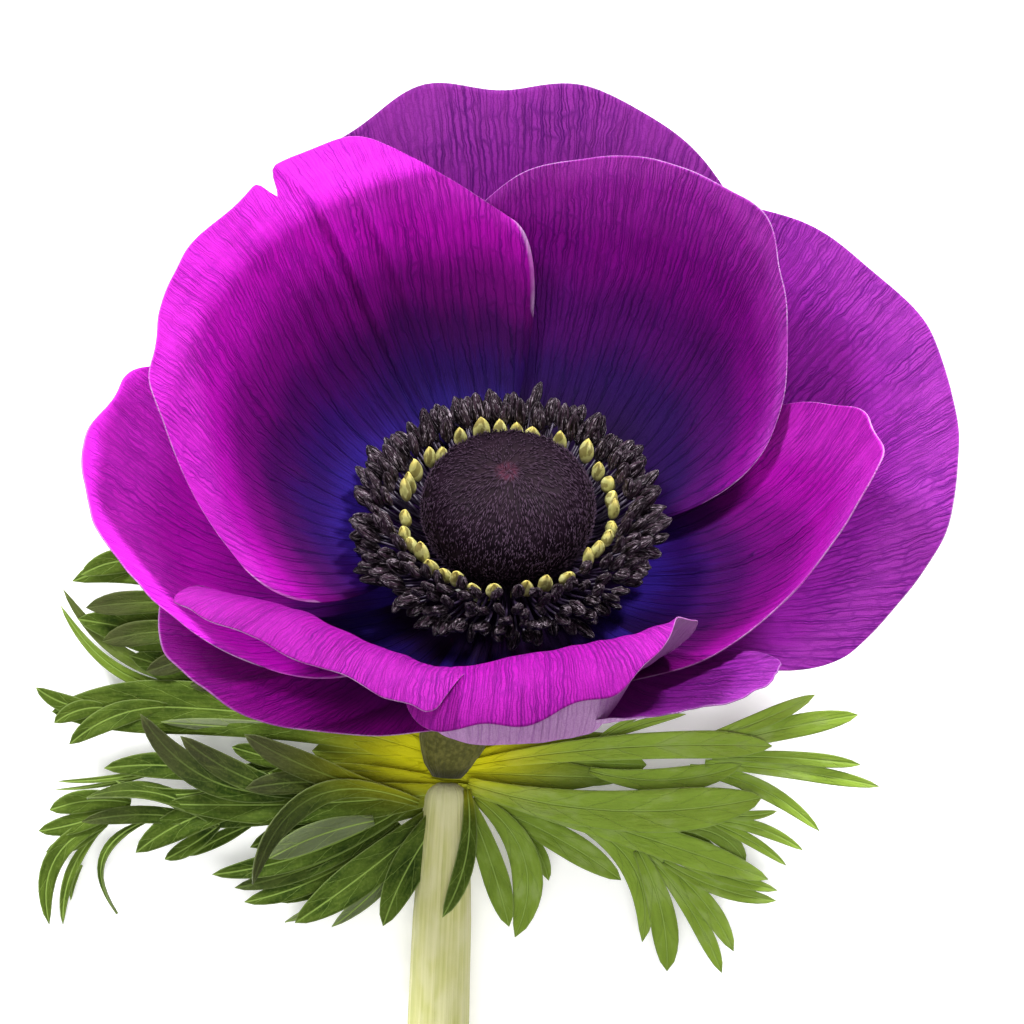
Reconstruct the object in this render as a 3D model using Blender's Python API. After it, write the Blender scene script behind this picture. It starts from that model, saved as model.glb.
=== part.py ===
"""Cut anemone flower lying on its back: ten tepals, stamens, pistil dome, three bracts, stem.

Units inside this file are millimetres; meshes are written in metres.  +Z is up.  The
flower head points to +Y and its face looks up and slightly towards the head end.
"""
import math

import bmesh
import bpy
import mathutils
import numpy as np

MM = 0.001
FACE_TILT = math.radians(41.0)            # flower axis leans this far from straight up
BASE = np.array([-0.4, -3.3, 21.0])       # centre of the flower base
NODE = np.array([-6.7, -27.3, 6.8])       # centre of the bract node on the stem
STEM_END_Y = -122.0
CLAW_RADIUS = 5.0                         # tepal claws start at this radius
TEPAL_PITCH = 1.0                         # spacing of overlapping tepals, along the normal
TEPAL_THICK = 0.5
BRACT_THICK = 0.6
RECEPTACLE_RADIUS = 4.7

E1 = np.array([1.0, 0.0, 0.0])
E3 = np.array([0.0, math.sin(FACE_TILT), math.cos(FACE_TILT)])
E2 = np.cross(E3, E1)

TEPAL_DEFAULTS = dict(
    belly=0.5, claw=3.5, full=0.9, shoulder=0.3, base=4, cup=60, b0=0.1, b1=0.7,
    roll=0, q0=0.75, q1=1.0, cup_l=0, cup_r=0, roll_l=0, roll_r=0, nu=15, nv=13)

# az: direction round the flower axis, degrees; length and side widths in millimetres;
# base and cup: slope near the claw and near the rim, degrees; level: 0 is innermost;
# roll: how far the rim turns outwards, degrees; _l and _r: changes towards the two sides.
TEPALS = {
    "tepal_inner_left": dict(
        az=150, length=42, wl=25, wr=32, belly=0.3, full=0.5, level=0, base=8, cup=68,
        b0=0.12, b1=0.68, cup_l=-14, cup_r=-8, shoulder=0.45, nu=21),
    "tepal_inner_upper_right": dict(
        az=53, length=40, wl=26, wr=17, belly=0.43, full=0.82, level=1, base=8, cup=60, b1=0.8,
        shoulder=0.65, cup_l=4, cup_r=2),
    "tepal_inner_front": dict(
        az=286, length=45.5, wl=12.5, wr=14.4, belly=0.79, full=0.72, level=1, base=3, cup=82,
        b0=0.25, b1=0.59, roll=110, q0=0.77, q1=1.02, roll_l=-48, roll_r=8, cup_r=-18, nv=26, nu=17),
    "tepal_inner_right": dict(
        az=-14, length=40, wl=18, wr=12, belly=0.36, full=1.0, level=3, base=4, cup=65,
        b0=0.14, b1=0.72, cup_l=6, cup_r=-16),
    "tepal_inner_front_left": dict(
        az=237, length=41.5, wl=9, wr=21, belly=0.7, full=0.72, level=4, base=2, cup=74,
        b0=0.21, b1=0.55, roll=122, q0=0.8, q1=1.01, roll_l=-16, roll_r=-42, cup_r=-38,
        cup_l=-9, nv=26, nu=17),
    "tepal_outer_top": dict(az=91, length=48.5, wl=27, wr=28, belly=0.43, full=1.1, level=4,
                            cup=38, cup_l=4, cup_r=11),
    "tepal_outer_right": dict(
        az=25, length=42.3, wl=31, wr=25.5, belly=0.42, full=1.1, level=6, base=3, cup=36,
        shoulder=0.58, cup_l=7, cup_r=-16, nu=19, b0=0.12, b1=0.8),
    "tepal_outer_left": dict(az=178, length=38.5, wl=15, wr=16, belly=0.42, full=0.5, level=5,
                             cup=48, b0=0.24, b1=0.75, cup_r=-14),
    "tepal_outer_front_left": dict(
        az=202, length=29, wl=15, wr=19, belly=0.17, full=1.25, level=6.5, base=4, cup=29,
        b0=0.3, b1=1.05, cup_l=-8, cup_r=-12),
    "tepal_outer_front_right": dict(
        az=-42, length=31, wl=7, wr=9, belly=0.3, full=1.1, level=5, cup=36, b0=0.18,
        b1=0.8, cup_r=0, nu=11),
}


def smooth(x):
    x = np.clip(x, 0.0, 1.0)
    return x * x * (3.0 - 2.0 * x)


def flower_to_world(p):
    return BASE + p[..., 0:1] * E1 + p[..., 1:2] * E2 + p[..., 2:3] * E3


def tepal_flat(q, s, t):
    """Flat outline of one tepal: s runs from claw to rim, t from side to side."""
    w = np.where(t < 0, q["wr"], q["wl"])
    a = np.abs(t) * math.pi / 2
    rim_x = np.sign(t) * w * np.sin(a)
    rim_y = q["length"] * (q["belly"] + (1 - q["belly"]) * np.maximum(np.cos(a), 0) ** q["full"])
    claw_x = q["claw"] * t
    x = (1 - s) ** 2 * claw_x + (2 * s * (1 - s) + s * s) * rim_x
    y = CLAW_RADIUS + (2 * s * (1 - s) * q["shoulder"] + s * s) * rim_y
    return x, y


def tepal_slope(q, r, alpha):
    """Slope above the flower base plane at flat radius r, without and with the rolled rim."""
    u = r / q["length"]
    left = smooth(alpha / math.radians(60))
    right = smooth(-alpha / math.radians(60))
    cup = q["cup"] + q["cup_l"] * left + q["cup_r"] * right
    roll = q["roll"] + q["roll_l"] * left + q["roll_r"] * right
    rise = smooth((u - q["b0"]) / (q["b1"] - q["b0"]))
    curl = smooth((u - q["q0"]) / (q["q1"] - q["q0"]))
    plain = np.radians(q["base"] + (cup - q["base"]) * rise)
    return plain, plain - np.radians(roll * curl)


def tepal_surface(q, s, t, lift):
    """Points of the tepal surface raised by lift along its normal."""
    x, y = tepal_flat(q, s, t)
    r = np.maximum(np.hypot(x, y) - CLAW_RADIUS, 0.0)
    alpha = np.arctan2(x, y)
    steps = (np.arange(32) + 0.5) / 32
    _, along = tepal_slope(q, r[..., None] * steps, alpha[..., None])
    rho = CLAW_RADIUS + r * np.cos(along).mean(-1)
    z = r * np.sin(along).mean(-1)
    plain, slope = tepal_slope(q, r, alpha)
    down = TEPAL_PITCH * q["level"]
    rho = rho + down * np.sin(plain) - lift * np.sin(slope)
    z = z - down * np.cos(plain) + lift * np.cos(slope)
    th = math.radians(q["az"]) + alpha
    return np.stack([rho * np.cos(th), rho * np.sin(th), z], -1)


def new_object(name, verts, faces, colour, roughness):
    mesh = bpy.data.meshes.new(name)
    mesh.from_pydata([tuple(v * MM) for v in np.asarray(verts, float)], [], faces)
    bm = bmesh.new()
    bm.from_mesh(mesh)
    bmesh.ops.triangulate(bm, faces=bm.faces)
    bmesh.ops.recalc_face_normals(bm, faces=bm.faces)
    bm.to_mesh(mesh)
    bm.free()
    obj = bpy.data.objects.new(name, mesh)
    bpy.context.scene.collection.objects.link(obj)
    mat = bpy.data.materials.new(name)
    mat.use_nodes = True
    shader = mat.node_tree.nodes["Principled BSDF"]
    shader.inputs["Base Color"].default_value = (*colour, 1.0)
    shader.inputs["Roughness"].default_value = roughness
    mesh.materials.append(mat)
    return obj


def sheet_faces(ny, nx):
    """Faces of a closed thin sheet: top grid, bottom grid, rim."""
    n = ny * nx
    faces = []
    for i in range(ny - 1):
        for j in range(nx - 1):
            a = i * nx + j
            faces.append((a, a + 1, a + nx + 1, a + nx))
            faces.append((n + a, n + a + nx, n + a + nx + 1, n + a + 1))
    edge = [j for j in range(nx)] + [i * nx + nx - 1 for i in range(1, ny)]
    edge += [(ny - 1) * nx + j for j in range(nx - 2, -1, -1)]
    edge += [i * nx for i in range(ny - 2, 0, -1)]
    for k, a in enumerate(edge):
        b = edge[(k + 1) % len(edge)]
        faces.append((a, n + a, n + b, b))
    return faces


def build_tepal(name, spec):
    q = dict(TEPAL_DEFAULTS)
    q.update(spec)
    nu, nv = q["nu"], q["nv"]
    t = np.linspace(-1, 1, nu)[None, :] * np.ones((nv, 1))
    s = np.linspace(0, 1, nv)[:, None] * np.ones((1, nu))
    top = flower_to_world(tepal_surface(q, s, t, 0.0)).reshape(-1, 3)
    low = flower_to_world(tepal_surface(q, s, t, -TEPAL_THICK)).reshape(-1, 3)
    colour = (0.33, 0.03, 0.42) if "inner" in name else (0.30, 0.06, 0.40)
    new_object(name, np.vstack([top, low]), sheet_faces(nv, nu), colour, 0.6)


def ring(name, radius, height, half_w, half_h, bumps, bump, count, colour):
    """Closed ring round the flower axis with a bumpy elliptic section."""
    sides = 6
    verts, faces = [], []
    for i in range(count):
        th = 2 * math.pi * i / count
        swell = 1.0 + bump * math.cos(bumps * th)
        for j in range(sides):
            ph = 2 * math.pi * (j + 0.5) / sides
            rho = radius + half_w * swell * math.cos(ph)
            z = height + half_h * swell * math.sin(ph)
            verts.append((rho * math.cos(th), rho * math.sin(th), z))
    for i in range(count):
        for j in range(sides):
            a, b = i * sides + j, i * sides + (j + 1) % sides
            c = ((i + 1) % count) * sides + (j + 1) % sides
            d = ((i + 1) % count) * sides + j
            faces.append((a, b, c, d))
    new_object(name, flower_to_world(np.array(verts)), faces, colour, 0.7)


def build_pistil():
    profile = [(4.2, 1.4), (7.2, 2.6), (8.5, 4.8), (8.5, 6.8), (7.5, 9.0), (5.2, 10.6), (2.4, 11.2)]
    count = 28
    verts = [(0, 0, 1.4), (0, 0, 11.0)]
    faces = []
    for rho, z in profile:
        for i in range(count):
            th = 2 * math.pi * i / count
            verts.append((rho * math.cos(th), rho * math.sin(th), z))
    for i in range(count):
        k = (i + 1) % count
        faces.append((0, 2 + k, 2 + i))
        last = 2 + (len(profile) - 1) * count
        faces.append((1, last + i, last + k))
        for j in range(len(profile) - 1):
            a, b = 2 + j * count + i, 2 + j * count + k
            faces.append((a, b, b + count, a + count))
    new_object("pistil_dome", flower_to_world(np.array(verts)), faces, (0.03, 0.015, 0.03), 0.8)


def build_centre():
    build_pistil()
    black = (0.012, 0.008, 0.016)
    ring("filament_whorl", 10.2, 2.8, 1.9, 1.1, 36, 0.0, 36, (0.03, 0.01, 0.05))
    ring("anther_ring_pale", 10.15, 5.5, 1.3, 1.25, 18, 0.06, 54, (0.45, 0.42, 0.14))
    ring("anther_ring_upper", 12.75, 6.35, 1.2, 1.15, 18, 0.06, 54, black)
    ring("anther_ring_middle", 14.25, 4.35, 1.2, 1.15, 18, 0.06, 54, black)
    ring("anther_ring_lower", 13.3, 2.5, 1.1, 0.75, 18, 0.06, 54, black)


def bezier(p0, p1, p2, p3, u):
    u = np.asarray(u, float)[:, None]
    return (1 - u) ** 3 * p0 + 3 * u * (1 - u) ** 2 * p1 + 3 * u * u * (1 - u) * p2 + u ** 3 * p3


def stem_path():
    """Centre line and radius from the receptacle top down to the cut end."""
    top = BASE + 1.1 * E3
    low = BASE - 7.0 * E3
    a = np.array([top, low])
    b = bezier(low, low - 9.0 * E3, NODE + np.array([0.4, 9.0, 0.2]), NODE, [0.2, 0.4, 0.6, 0.8, 1.0])
    end = np.array([-9.2, STEM_END_Y, 3.3])
    c = bezier(NODE, NODE + np.array([-0.3, -18.0, -0.6]), end + np.array([0.6, 45.0, 0.0]), end,
               [0.06, 0.15, 0.3, 0.45, 0.6, 0.75, 0.9, 1.0])
    path = np.vstack([a, b, c])
    radius = [RECEPTACLE_RADIUS, RECEPTACLE_RADIUS - 0.3, 3.4, 3.0, 2.9, 3.0, 2.9,
              2.5, 2.7, 3.0, 3.2, 3.25, 3.25, 3.25, 3.3]
    return path, np.array(radius)


def build_stem():
    path, radius = stem_path()
    sides, n = 20, len(path)
    verts, faces = [], []
    ref = np.array([1.0, 0.0, 0.0])
    for i in range(n):
        d = path[min(i + 1, n - 1)] - path[max(i - 1, 0)]
        if i < 2:
            d = -E3
        d = d / np.linalg.norm(d)
        u = ref - d * (ref @ d)
        u = u / np.linalg.norm(u)
        v = np.cross(d, u)
        for j in range(sides):
            ph = 2 * math.pi * j / sides
            verts.append(path[i] + radius[i] * (math.cos(ph) * u + math.sin(ph) * v))
    for i in range(n - 1):
        for j in range(sides):
            a, b = i * sides + j, i * sides + (j + 1) % sides
            faces.append((a, b, b + sides, a + sides))
    faces.append(tuple(range(sides))[::-1])
    faces.append(tuple((n - 1) * sides + j for j in range(sides)))
    new_object("stem", np.array(verts), faces, (0.36, 0.42, 0.16), 0.55)


# A bract is a fan of lobes.  Each lobe, in millimetres from the node: start across and
# along, tip across and along, width, sideways bow, widest place, then teeth as
# (start fraction, side, length, width, turn in degrees).
BRACTS = {
    "bract_right": dict(
        origin=(4.2, -0.2, 1.4), out=(1.0, 0.0, -0.08), across=(0.0, 1.0, 0.12), droop=-2.6,
        wave=0.9, phase=0.4, lobes=[
            (3.8, 0.6, 42.8, 7.5, 4.8, 0.6, 0.62, [(0.70, 1, 9.0, 2.4, 26)]),
            (3.9, 0.2, 43.0, 2.3, 4.6, 1.4, 0.6, []),
            (3.9, 0.0, 44.8, 0.0, 3.8, 2.0, 0.65, []),
            (12.0, 1.5, 38.9, -4.4, 3.6, 2.3, 0.55, []),
            (3.9, -0.2, 32.7, -1.1, 5.6, -1.3, 0.68, []),
            (21.0, -1.8, 37.0, -6.3, 2.6, 0.8, 0.5, []),
            (18.0, -2.6, 31.1, -7.7, 2.6, 0.5, 0.5, []),
            (3.9, -0.6, 33.4, -9.6, 4.8, 0.9, 0.66, [(0.72, -1, 9.0, 2.6, 12)]),
            (18.0, -5.4, 34.0, -11.6, 3.0, 0.2, 0.5, [(0.5, -1, 4.5, 2.0, 18)]),
            (3.9, -0.8, 23.1, -18.9, 5.2, 6.0, 0.5, [(0.58, -1, 8.8, 2.8, 22)]),
            (18.5, -7.0, 29.2, -19.4, 3.2, 1.2, 0.5, [(0.45, 1, 7.6, 2.6, 14)]),
            (4.1, -0.8, 18.2, -9.6, 4.2, 0.7, 0.72, []),
            (4.3, -1.0, 10.9, -9.6, 2.2, 0.8, 0.6, []),
            (4.4, -1.0, 7.4, -15.5, 3.4, 1.0, 0.62, []),
        ]),
    "bract_left": dict(
        origin=(-4.2, -0.2, 1.4), out=(-1.0, 0.0, -0.08), across=(0.0, -1.0, -0.12), droop=-3.2,
        wave=0.9, phase=1.2, lobes=[
            (-4.2, -0.8, -7.2, -14.2, 3.2, -0.6, 0.6, []),
            (-3.85, -0.8, -14.9, -13.7, 4.2, 0.0, 0.55, []),
            (-3.85, -0.6, -19.2, -9.9, 3.4, -1.6, 0.6, []),
            (-3.85, -0.6, -17.6, -11.9, 3.4, 0.8, 0.6, [(0.7, 1, 5.0, 2.0, 14)]),
            (-3.85, -0.4, -37.2, -3.2, 5.2, 0.0, 0.55, [(0.66, 1, 7.4, 2.8, 32)]),
            (-16.0, -0.6, -31.2, 7.7, 3.0, 1.5, 0.6, []),
            (-15.0, -0.4, -39.7, 0.8, 3.2, -2.2, 0.5, []),
            (-18.0, -0.6, -37.0, 2.4, 2.6, -1.4, 0.5, []),
            (-14.0, -1.2, -31.8, -6.7, 3.6, 0.6, 0.5, [(0.6, 1, 6.0, 2.8, 12)]),
            (-8.0, -1.6, -26.3, -6.8, 3.4, 0.6, 0.5, []),
            (-7.0, -1.4, -24.0, -9.0, 3.2, 0.8, 0.5, []),
            (-3.85, -0.2, -20.6, 5.4, 3.4, 0.0, 0.62, []),
            (-30.0, -2.0, -40.5, -2.2, 3.8, -0.6, 0.45, []),
            (-30.0, -2.2, -41.8, -4.3, 3.0, 0.0, 0.45, []),
            (-30.5, -2.4, -40.7, -14.0, 3.0, -3.0, 0.5, []),
        ]),
    "bract_back": dict(
        origin=(-0.6, 0.6, -3.2), out=(-1.0, 0.0, -0.02), across=(0.0, -1.0, 0.0), droop=-1.2,
        wave=0.6, phase=0.6, lobes=[
            (0.0, 2.2, -41.0, 6.6, 5.8, -2.2, 0.72,
             [(0.86, -1, 7.6, 2.1, 18), (0.70, 1, 11.0, 2.8, 22), (0.86, 1, 5.6, 2.2, 14)]),
            (0.0, 2.6, -38.4, 16.2, 5.2, -2.0, 0.7, []),
            (-12.0, 7.0, -34.8, 24.6, 4.8, -1.5, 0.75, [(0.8, 1, 8.0, 2.8, 40)]),
            (-24.0, 16.0, -39.0, 20.1, 3.0, -2.6, 0.6, []),
            (-22.0, 12.0, -37.4, 17.4, 2.8, 2.0, 0.6, []),
            (-10.0, 5.0, -33.0, 12.4, 4.6, 0.0, 0.6, []),
            (0.2, 2.6, 10.0, 24.0, 6.5, 1.5, 0.6,
             [(0.5, 1, 10.0, 3.2, 26), (0.55, -1, 10.0, 3.2, 26), (0.75, 1, 6.0, 2.4, 26)]),
            (0.0, 2.6, -5.0, 24.0, 6.0, -1.0, 0.6,
             [(0.5, 1, 9.0, 3.2, 26), (0.6, -1, 9.0, 3.2, 26)]),
        ]),
}


def lobe_outline(start, tip, width, bow, wide, steps=9):
    """Lanceolate outline round a bowed midrib; returns the outline and the midrib."""
    run = tip - start
    normal = np.array([-run[1], run[0]]) / np.linalg.norm(run)
    s = np.linspace(0, 1, steps + 1)
    mid = start + run * s[:, None] + normal * (bow * 4 * s * (1 - s))[:, None]
    grow = 0.5 + 0.5 * np.sin(np.minimum(s / wide, 1.0) * math.pi / 2)
    fade = np.maximum(np.cos(np.maximum((s - wide) / (1 - wide), 0.0) * math.pi / 2), 0.0)
    half = 0.5 * width * grow * fade ** 0.75
    ahead = np.gradient(mid, axis=0)
    ahead /= np.linalg.norm(ahead, axis=1, keepdims=True)
    aside = np.column_stack([-ahead[:, 1], ahead[:, 0]])
    left = mid[:-1] + aside[:-1] * half[:-1, None]
    right = mid[:-1] - aside[:-1] * half[:-1, None]
    return np.vstack([left, mid[-1:], right[::-1]]), mid, ahead


def bract_polygons(spec):
    """Outlines of all lobes in the bract's own flat axes."""
    away = 1.0 if spec["out"][0] > 0 else -1.0
    up = 1.0 if spec["across"][1] > 0 else -1.0
    polys = []
    for x0, y0, x1, y1, width, bow, wide, teeth in spec["lobes"]:
        start, tip = np.array([x0, y0]), np.array([x1, y1])
        out, mid, ahead = lobe_outline(start, tip, width, bow, wide)
        polys.append(out)
        for at, side, length, wd, turn in teeth:
            k = int(at * (len(mid) - 1))
            f = at * (len(mid) - 1) - k
            foot = mid[k] * (1 - f) + mid[k + 1] * f
            a = math.radians(turn) * side
            go = np.array([ahead[k][0] * math.cos(a) - ahead[k][1] * math.sin(a),
                           ahead[k][0] * math.sin(a) + ahead[k][1] * math.cos(a)])
            polys.append(lobe_outline(foot, foot + go * length, wd, -0.1 * length * side, 0.45,
                                      steps=6)[0])
    shift = np.array(spec["origin"][:2])
    return [(p - shift) * np.array([away, up]) for p in polys]


def bract_surface(spec, xy, lift):
    """Bend flat bract points into space; lift moves along the upper normal."""
    out = np.array(spec["out"]) / np.linalg.norm(spec["out"])
    across = np.array(spec["across"])
    across = across - out * (across @ out)
    across = across / np.linalg.norm(across)
    up = np.cross(out, across)
    origin = NODE + np.array(spec["origin"])
    x, y = xy[:, 0], xy[:, 1]
    r = np.hypot(x, y)
    th = np.arctan2(y, x)
    f = r / 40.0
    h = spec["droop"] * f ** 2 + spec["wave"] * np.sin(5.0 * th + spec["phase"]) * smooth(f * 1.6)
    return (origin + x[:, None] * out + y[:, None] * across + (h + lift)[:, None] * up)


def build_bract(name, spec):
    polys = bract_polygons(spec)
    pts, faces = [], []
    for poly in polys:
        start = len(pts)
        pts += [mathutils.Vector(p) for p in poly]
        faces.append(list(range(start, start + len(poly))))
    verts, _, tris, _, _, owners = mathutils.geometry.delaunay_2d_cdt(pts, [], faces, 1, 0.02)
    tris = [f for f, own in zip(tris, owners) if own]
    used = sorted({i for f in tris for i in f})
    index = {v: k for k, v in enumerate(used)}
    xy = np.array([[verts[i].x, verts[i].y] for i in used])
    tris = [tuple(index[i] for i in f) for f in tris]
    n = len(xy)
    count = {}
    for f in tris:
        for k in range(len(f)):
            count[(f[k], f[(k + 1) % len(f)])] = 1
    solid = list(tris) + [tuple(n + i for i in f[::-1]) for f in tris]
    for a, b in count:
        if (b, a) not in count:
            solid.append((b, a, n + a, n + b))
    top = bract_surface(spec, xy, 0.0)
    low = bract_surface(spec, xy, -BRACT_THICK)
    new_object(name, np.vstack([top, low]), solid, (0.12, 0.25, 0.05), 0.6)


def place():
    """Put the centre of the bounding box over the origin with the lowest point at zero."""
    low, high = np.full(3, 1e9), np.full(3, -1e9)
    for obj in bpy.data.objects:
        co = np.array([v.co for v in obj.data.vertices])
        low, high = np.minimum(low, co.min(0)), np.maximum(high, co.max(0))
    move = mathutils.Vector((-(low[0] + high[0]) / 2, -(low[1] + high[1]) / 2, -low[2]))
    for obj in bpy.data.objects:
        obj.data.transform(mathutils.Matrix.Translation(move))
    print("PLACE_MM", [round(v * 1000, 3) for v in move], "SIZE_MM", np.round((high - low) * 1000, 2))


def main():
    for obj in list(bpy.data.objects):
        bpy.data.objects.remove(obj, do_unlink=True)
    for name, spec in TEPALS.items():
        build_tepal(name, spec)
    build_centre()
    for name, spec in BRACTS.items():
        build_bract(name, spec)
    build_stem()
    place()


main()
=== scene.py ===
"""Looks of the cut anemone: velvety tepals with branching veins, dark stamens, hairy dome,
divided bracts and a pale streaked stem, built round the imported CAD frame.

Design lengths are millimetres in the same layout as the CAD: the flower's base is BASE and
its axis leans back by FACE_TILT.  SHIFT moves them into the row frame.
"""
import math

import bpy
import mathutils
import numpy as np
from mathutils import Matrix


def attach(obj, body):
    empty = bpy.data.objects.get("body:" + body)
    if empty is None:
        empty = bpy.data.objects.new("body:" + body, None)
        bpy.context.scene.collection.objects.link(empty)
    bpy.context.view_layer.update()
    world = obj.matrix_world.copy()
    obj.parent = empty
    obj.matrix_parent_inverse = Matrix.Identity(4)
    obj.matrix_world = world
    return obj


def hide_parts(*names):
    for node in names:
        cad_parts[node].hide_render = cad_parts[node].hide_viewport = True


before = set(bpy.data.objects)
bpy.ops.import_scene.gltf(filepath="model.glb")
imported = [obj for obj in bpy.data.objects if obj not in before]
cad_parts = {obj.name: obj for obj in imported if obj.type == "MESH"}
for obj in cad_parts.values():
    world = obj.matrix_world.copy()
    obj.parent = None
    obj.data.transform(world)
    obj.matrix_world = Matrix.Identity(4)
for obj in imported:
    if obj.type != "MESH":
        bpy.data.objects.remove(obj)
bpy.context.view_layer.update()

MM = 0.001
SHIFT = np.array([1.941, 38.315, 0.408])
FACE_TILT = math.radians(41.0)
BASE = np.array([-0.4, -3.3, 21.0])
NODE = np.array([-6.7, -27.3, 6.8])
STEM_END = np.array([-9.2, -122.0, 3.3])
CLAW_RADIUS = 5.0
TEPAL_PITCH = 1.0
TEPAL_THICK = 0.32
# where along a tepal its back bulges most, and from where its _l and _r values hold in full
KEEL_PLACE = 0.47
SIDE_ANGLE = math.radians(60.0)
UP = np.array([0.0, 0.0, 1.0])
E1 = np.array([1.0, 0.0, 0.0])
E3 = np.array([0.0, math.sin(FACE_TILT), math.cos(FACE_TILT)])
E2 = np.cross(E3, E1)


def smooth(x):
    x = np.clip(x, 0.0, 1.0)
    return x * x * (3.0 - 2.0 * x)


def bell(x, centre, width):
    return np.exp(-((x - centre) / width) ** 2)


def flower(p):
    """Flower coordinates (across, up, along the axis) to the design layout."""
    p = np.asarray(p, float)
    return BASE + p[..., 0:1] * E1 + p[..., 1:2] * E2 + p[..., 2:3] * E3


# ---------- mesh helpers

def add_object(name, data):
    obj = bpy.data.objects.new(name, data)
    bpy.context.scene.collection.objects.link(obj)
    return obj


def make(name, verts, faces, materials, replaces, attrs, face_mats=None):
    """Mesh object on the root body, from points in the design layout."""
    mesh = bpy.data.meshes.new(name)
    verts = (np.asarray(verts, float) + SHIFT) * MM
    mesh.from_pydata(verts.tolist(), [], faces)
    for mat in materials:
        mesh.materials.append(mat)
    if face_mats is not None:
        mesh.polygons.foreach_set("material_index", np.asarray(face_mats, dtype=np.int32))
    mesh.polygons.foreach_set("use_smooth", [True] * len(mesh.polygons))
    for key, values in attrs.items():
        values = np.asarray(values, dtype=np.float32)
        kind, field = ("FLOAT", "value") if values.ndim == 1 else ("FLOAT_VECTOR", "vector")
        mesh.attributes.new(key, kind, "POINT").data.foreach_set(field, values.ravel())
    mesh.update()
    obj = add_object(name, mesh)
    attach(obj, "root")
    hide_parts(*replaces)


def sheet_faces(ny, nx):
    """Quads of a closed thin sheet and which are top (0), bottom (1) or rim (2)."""
    n = ny * nx
    i, j = np.meshgrid(np.arange(ny - 1), np.arange(nx - 1), indexing="ij")
    a = (i * nx + j).ravel()
    top = np.stack([a, a + 1, a + nx + 1, a + nx], 1)
    low = np.stack([n + a, n + a + nx, n + a + nx + 1, n + a + 1], 1)
    edge = list(range(nx)) + [k * nx + nx - 1 for k in range(1, ny)]
    edge += [(ny - 1) * nx + k for k in range(nx - 2, -1, -1)]
    edge += [k * nx for k in range(ny - 2, 0, -1)]
    edge = np.array(edge)
    nxt = np.roll(edge, -1)
    rim = np.stack([edge, n + edge, n + nxt, nxt], 1)
    faces = np.vstack([top, low, rim])
    kind = [0] * len(top) + [1] * len(low) + [2] * len(rim)
    return faces.tolist(), kind


def ring_faces(rows, sides, pointed=True):
    """Quads between rings of points, then end fans to two more points, or flat ends."""
    i, j = np.meshgrid(np.arange(rows - 1), np.arange(sides), indexing="ij")
    a, b = (i * sides + j).ravel(), (i * sides + (j + 1) % sides).ravel()
    faces = np.stack([a, b, b + sides, a + sides], 1).tolist()
    last, end = (rows - 1) * sides, rows * sides
    if not pointed:
        return faces + [list(range(sides))[::-1], list(range(last, end))]
    faces += [[(k + 1) % sides, k, end] for k in range(sides)]
    faces += [[last + k, last + (k + 1) % sides, end + 1] for k in range(sides)]
    return faces


def polar(radius, angle, height):
    return np.array([radius * math.cos(angle), radius * math.sin(angle), height])


def directions(path):
    tangent = np.gradient(path, axis=0)
    return tangent / np.linalg.norm(tangent, axis=1, keepdims=True)


def angles(sides):
    return 2 * math.pi * np.arange(sides) / sides


# ---------- node helpers

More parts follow.
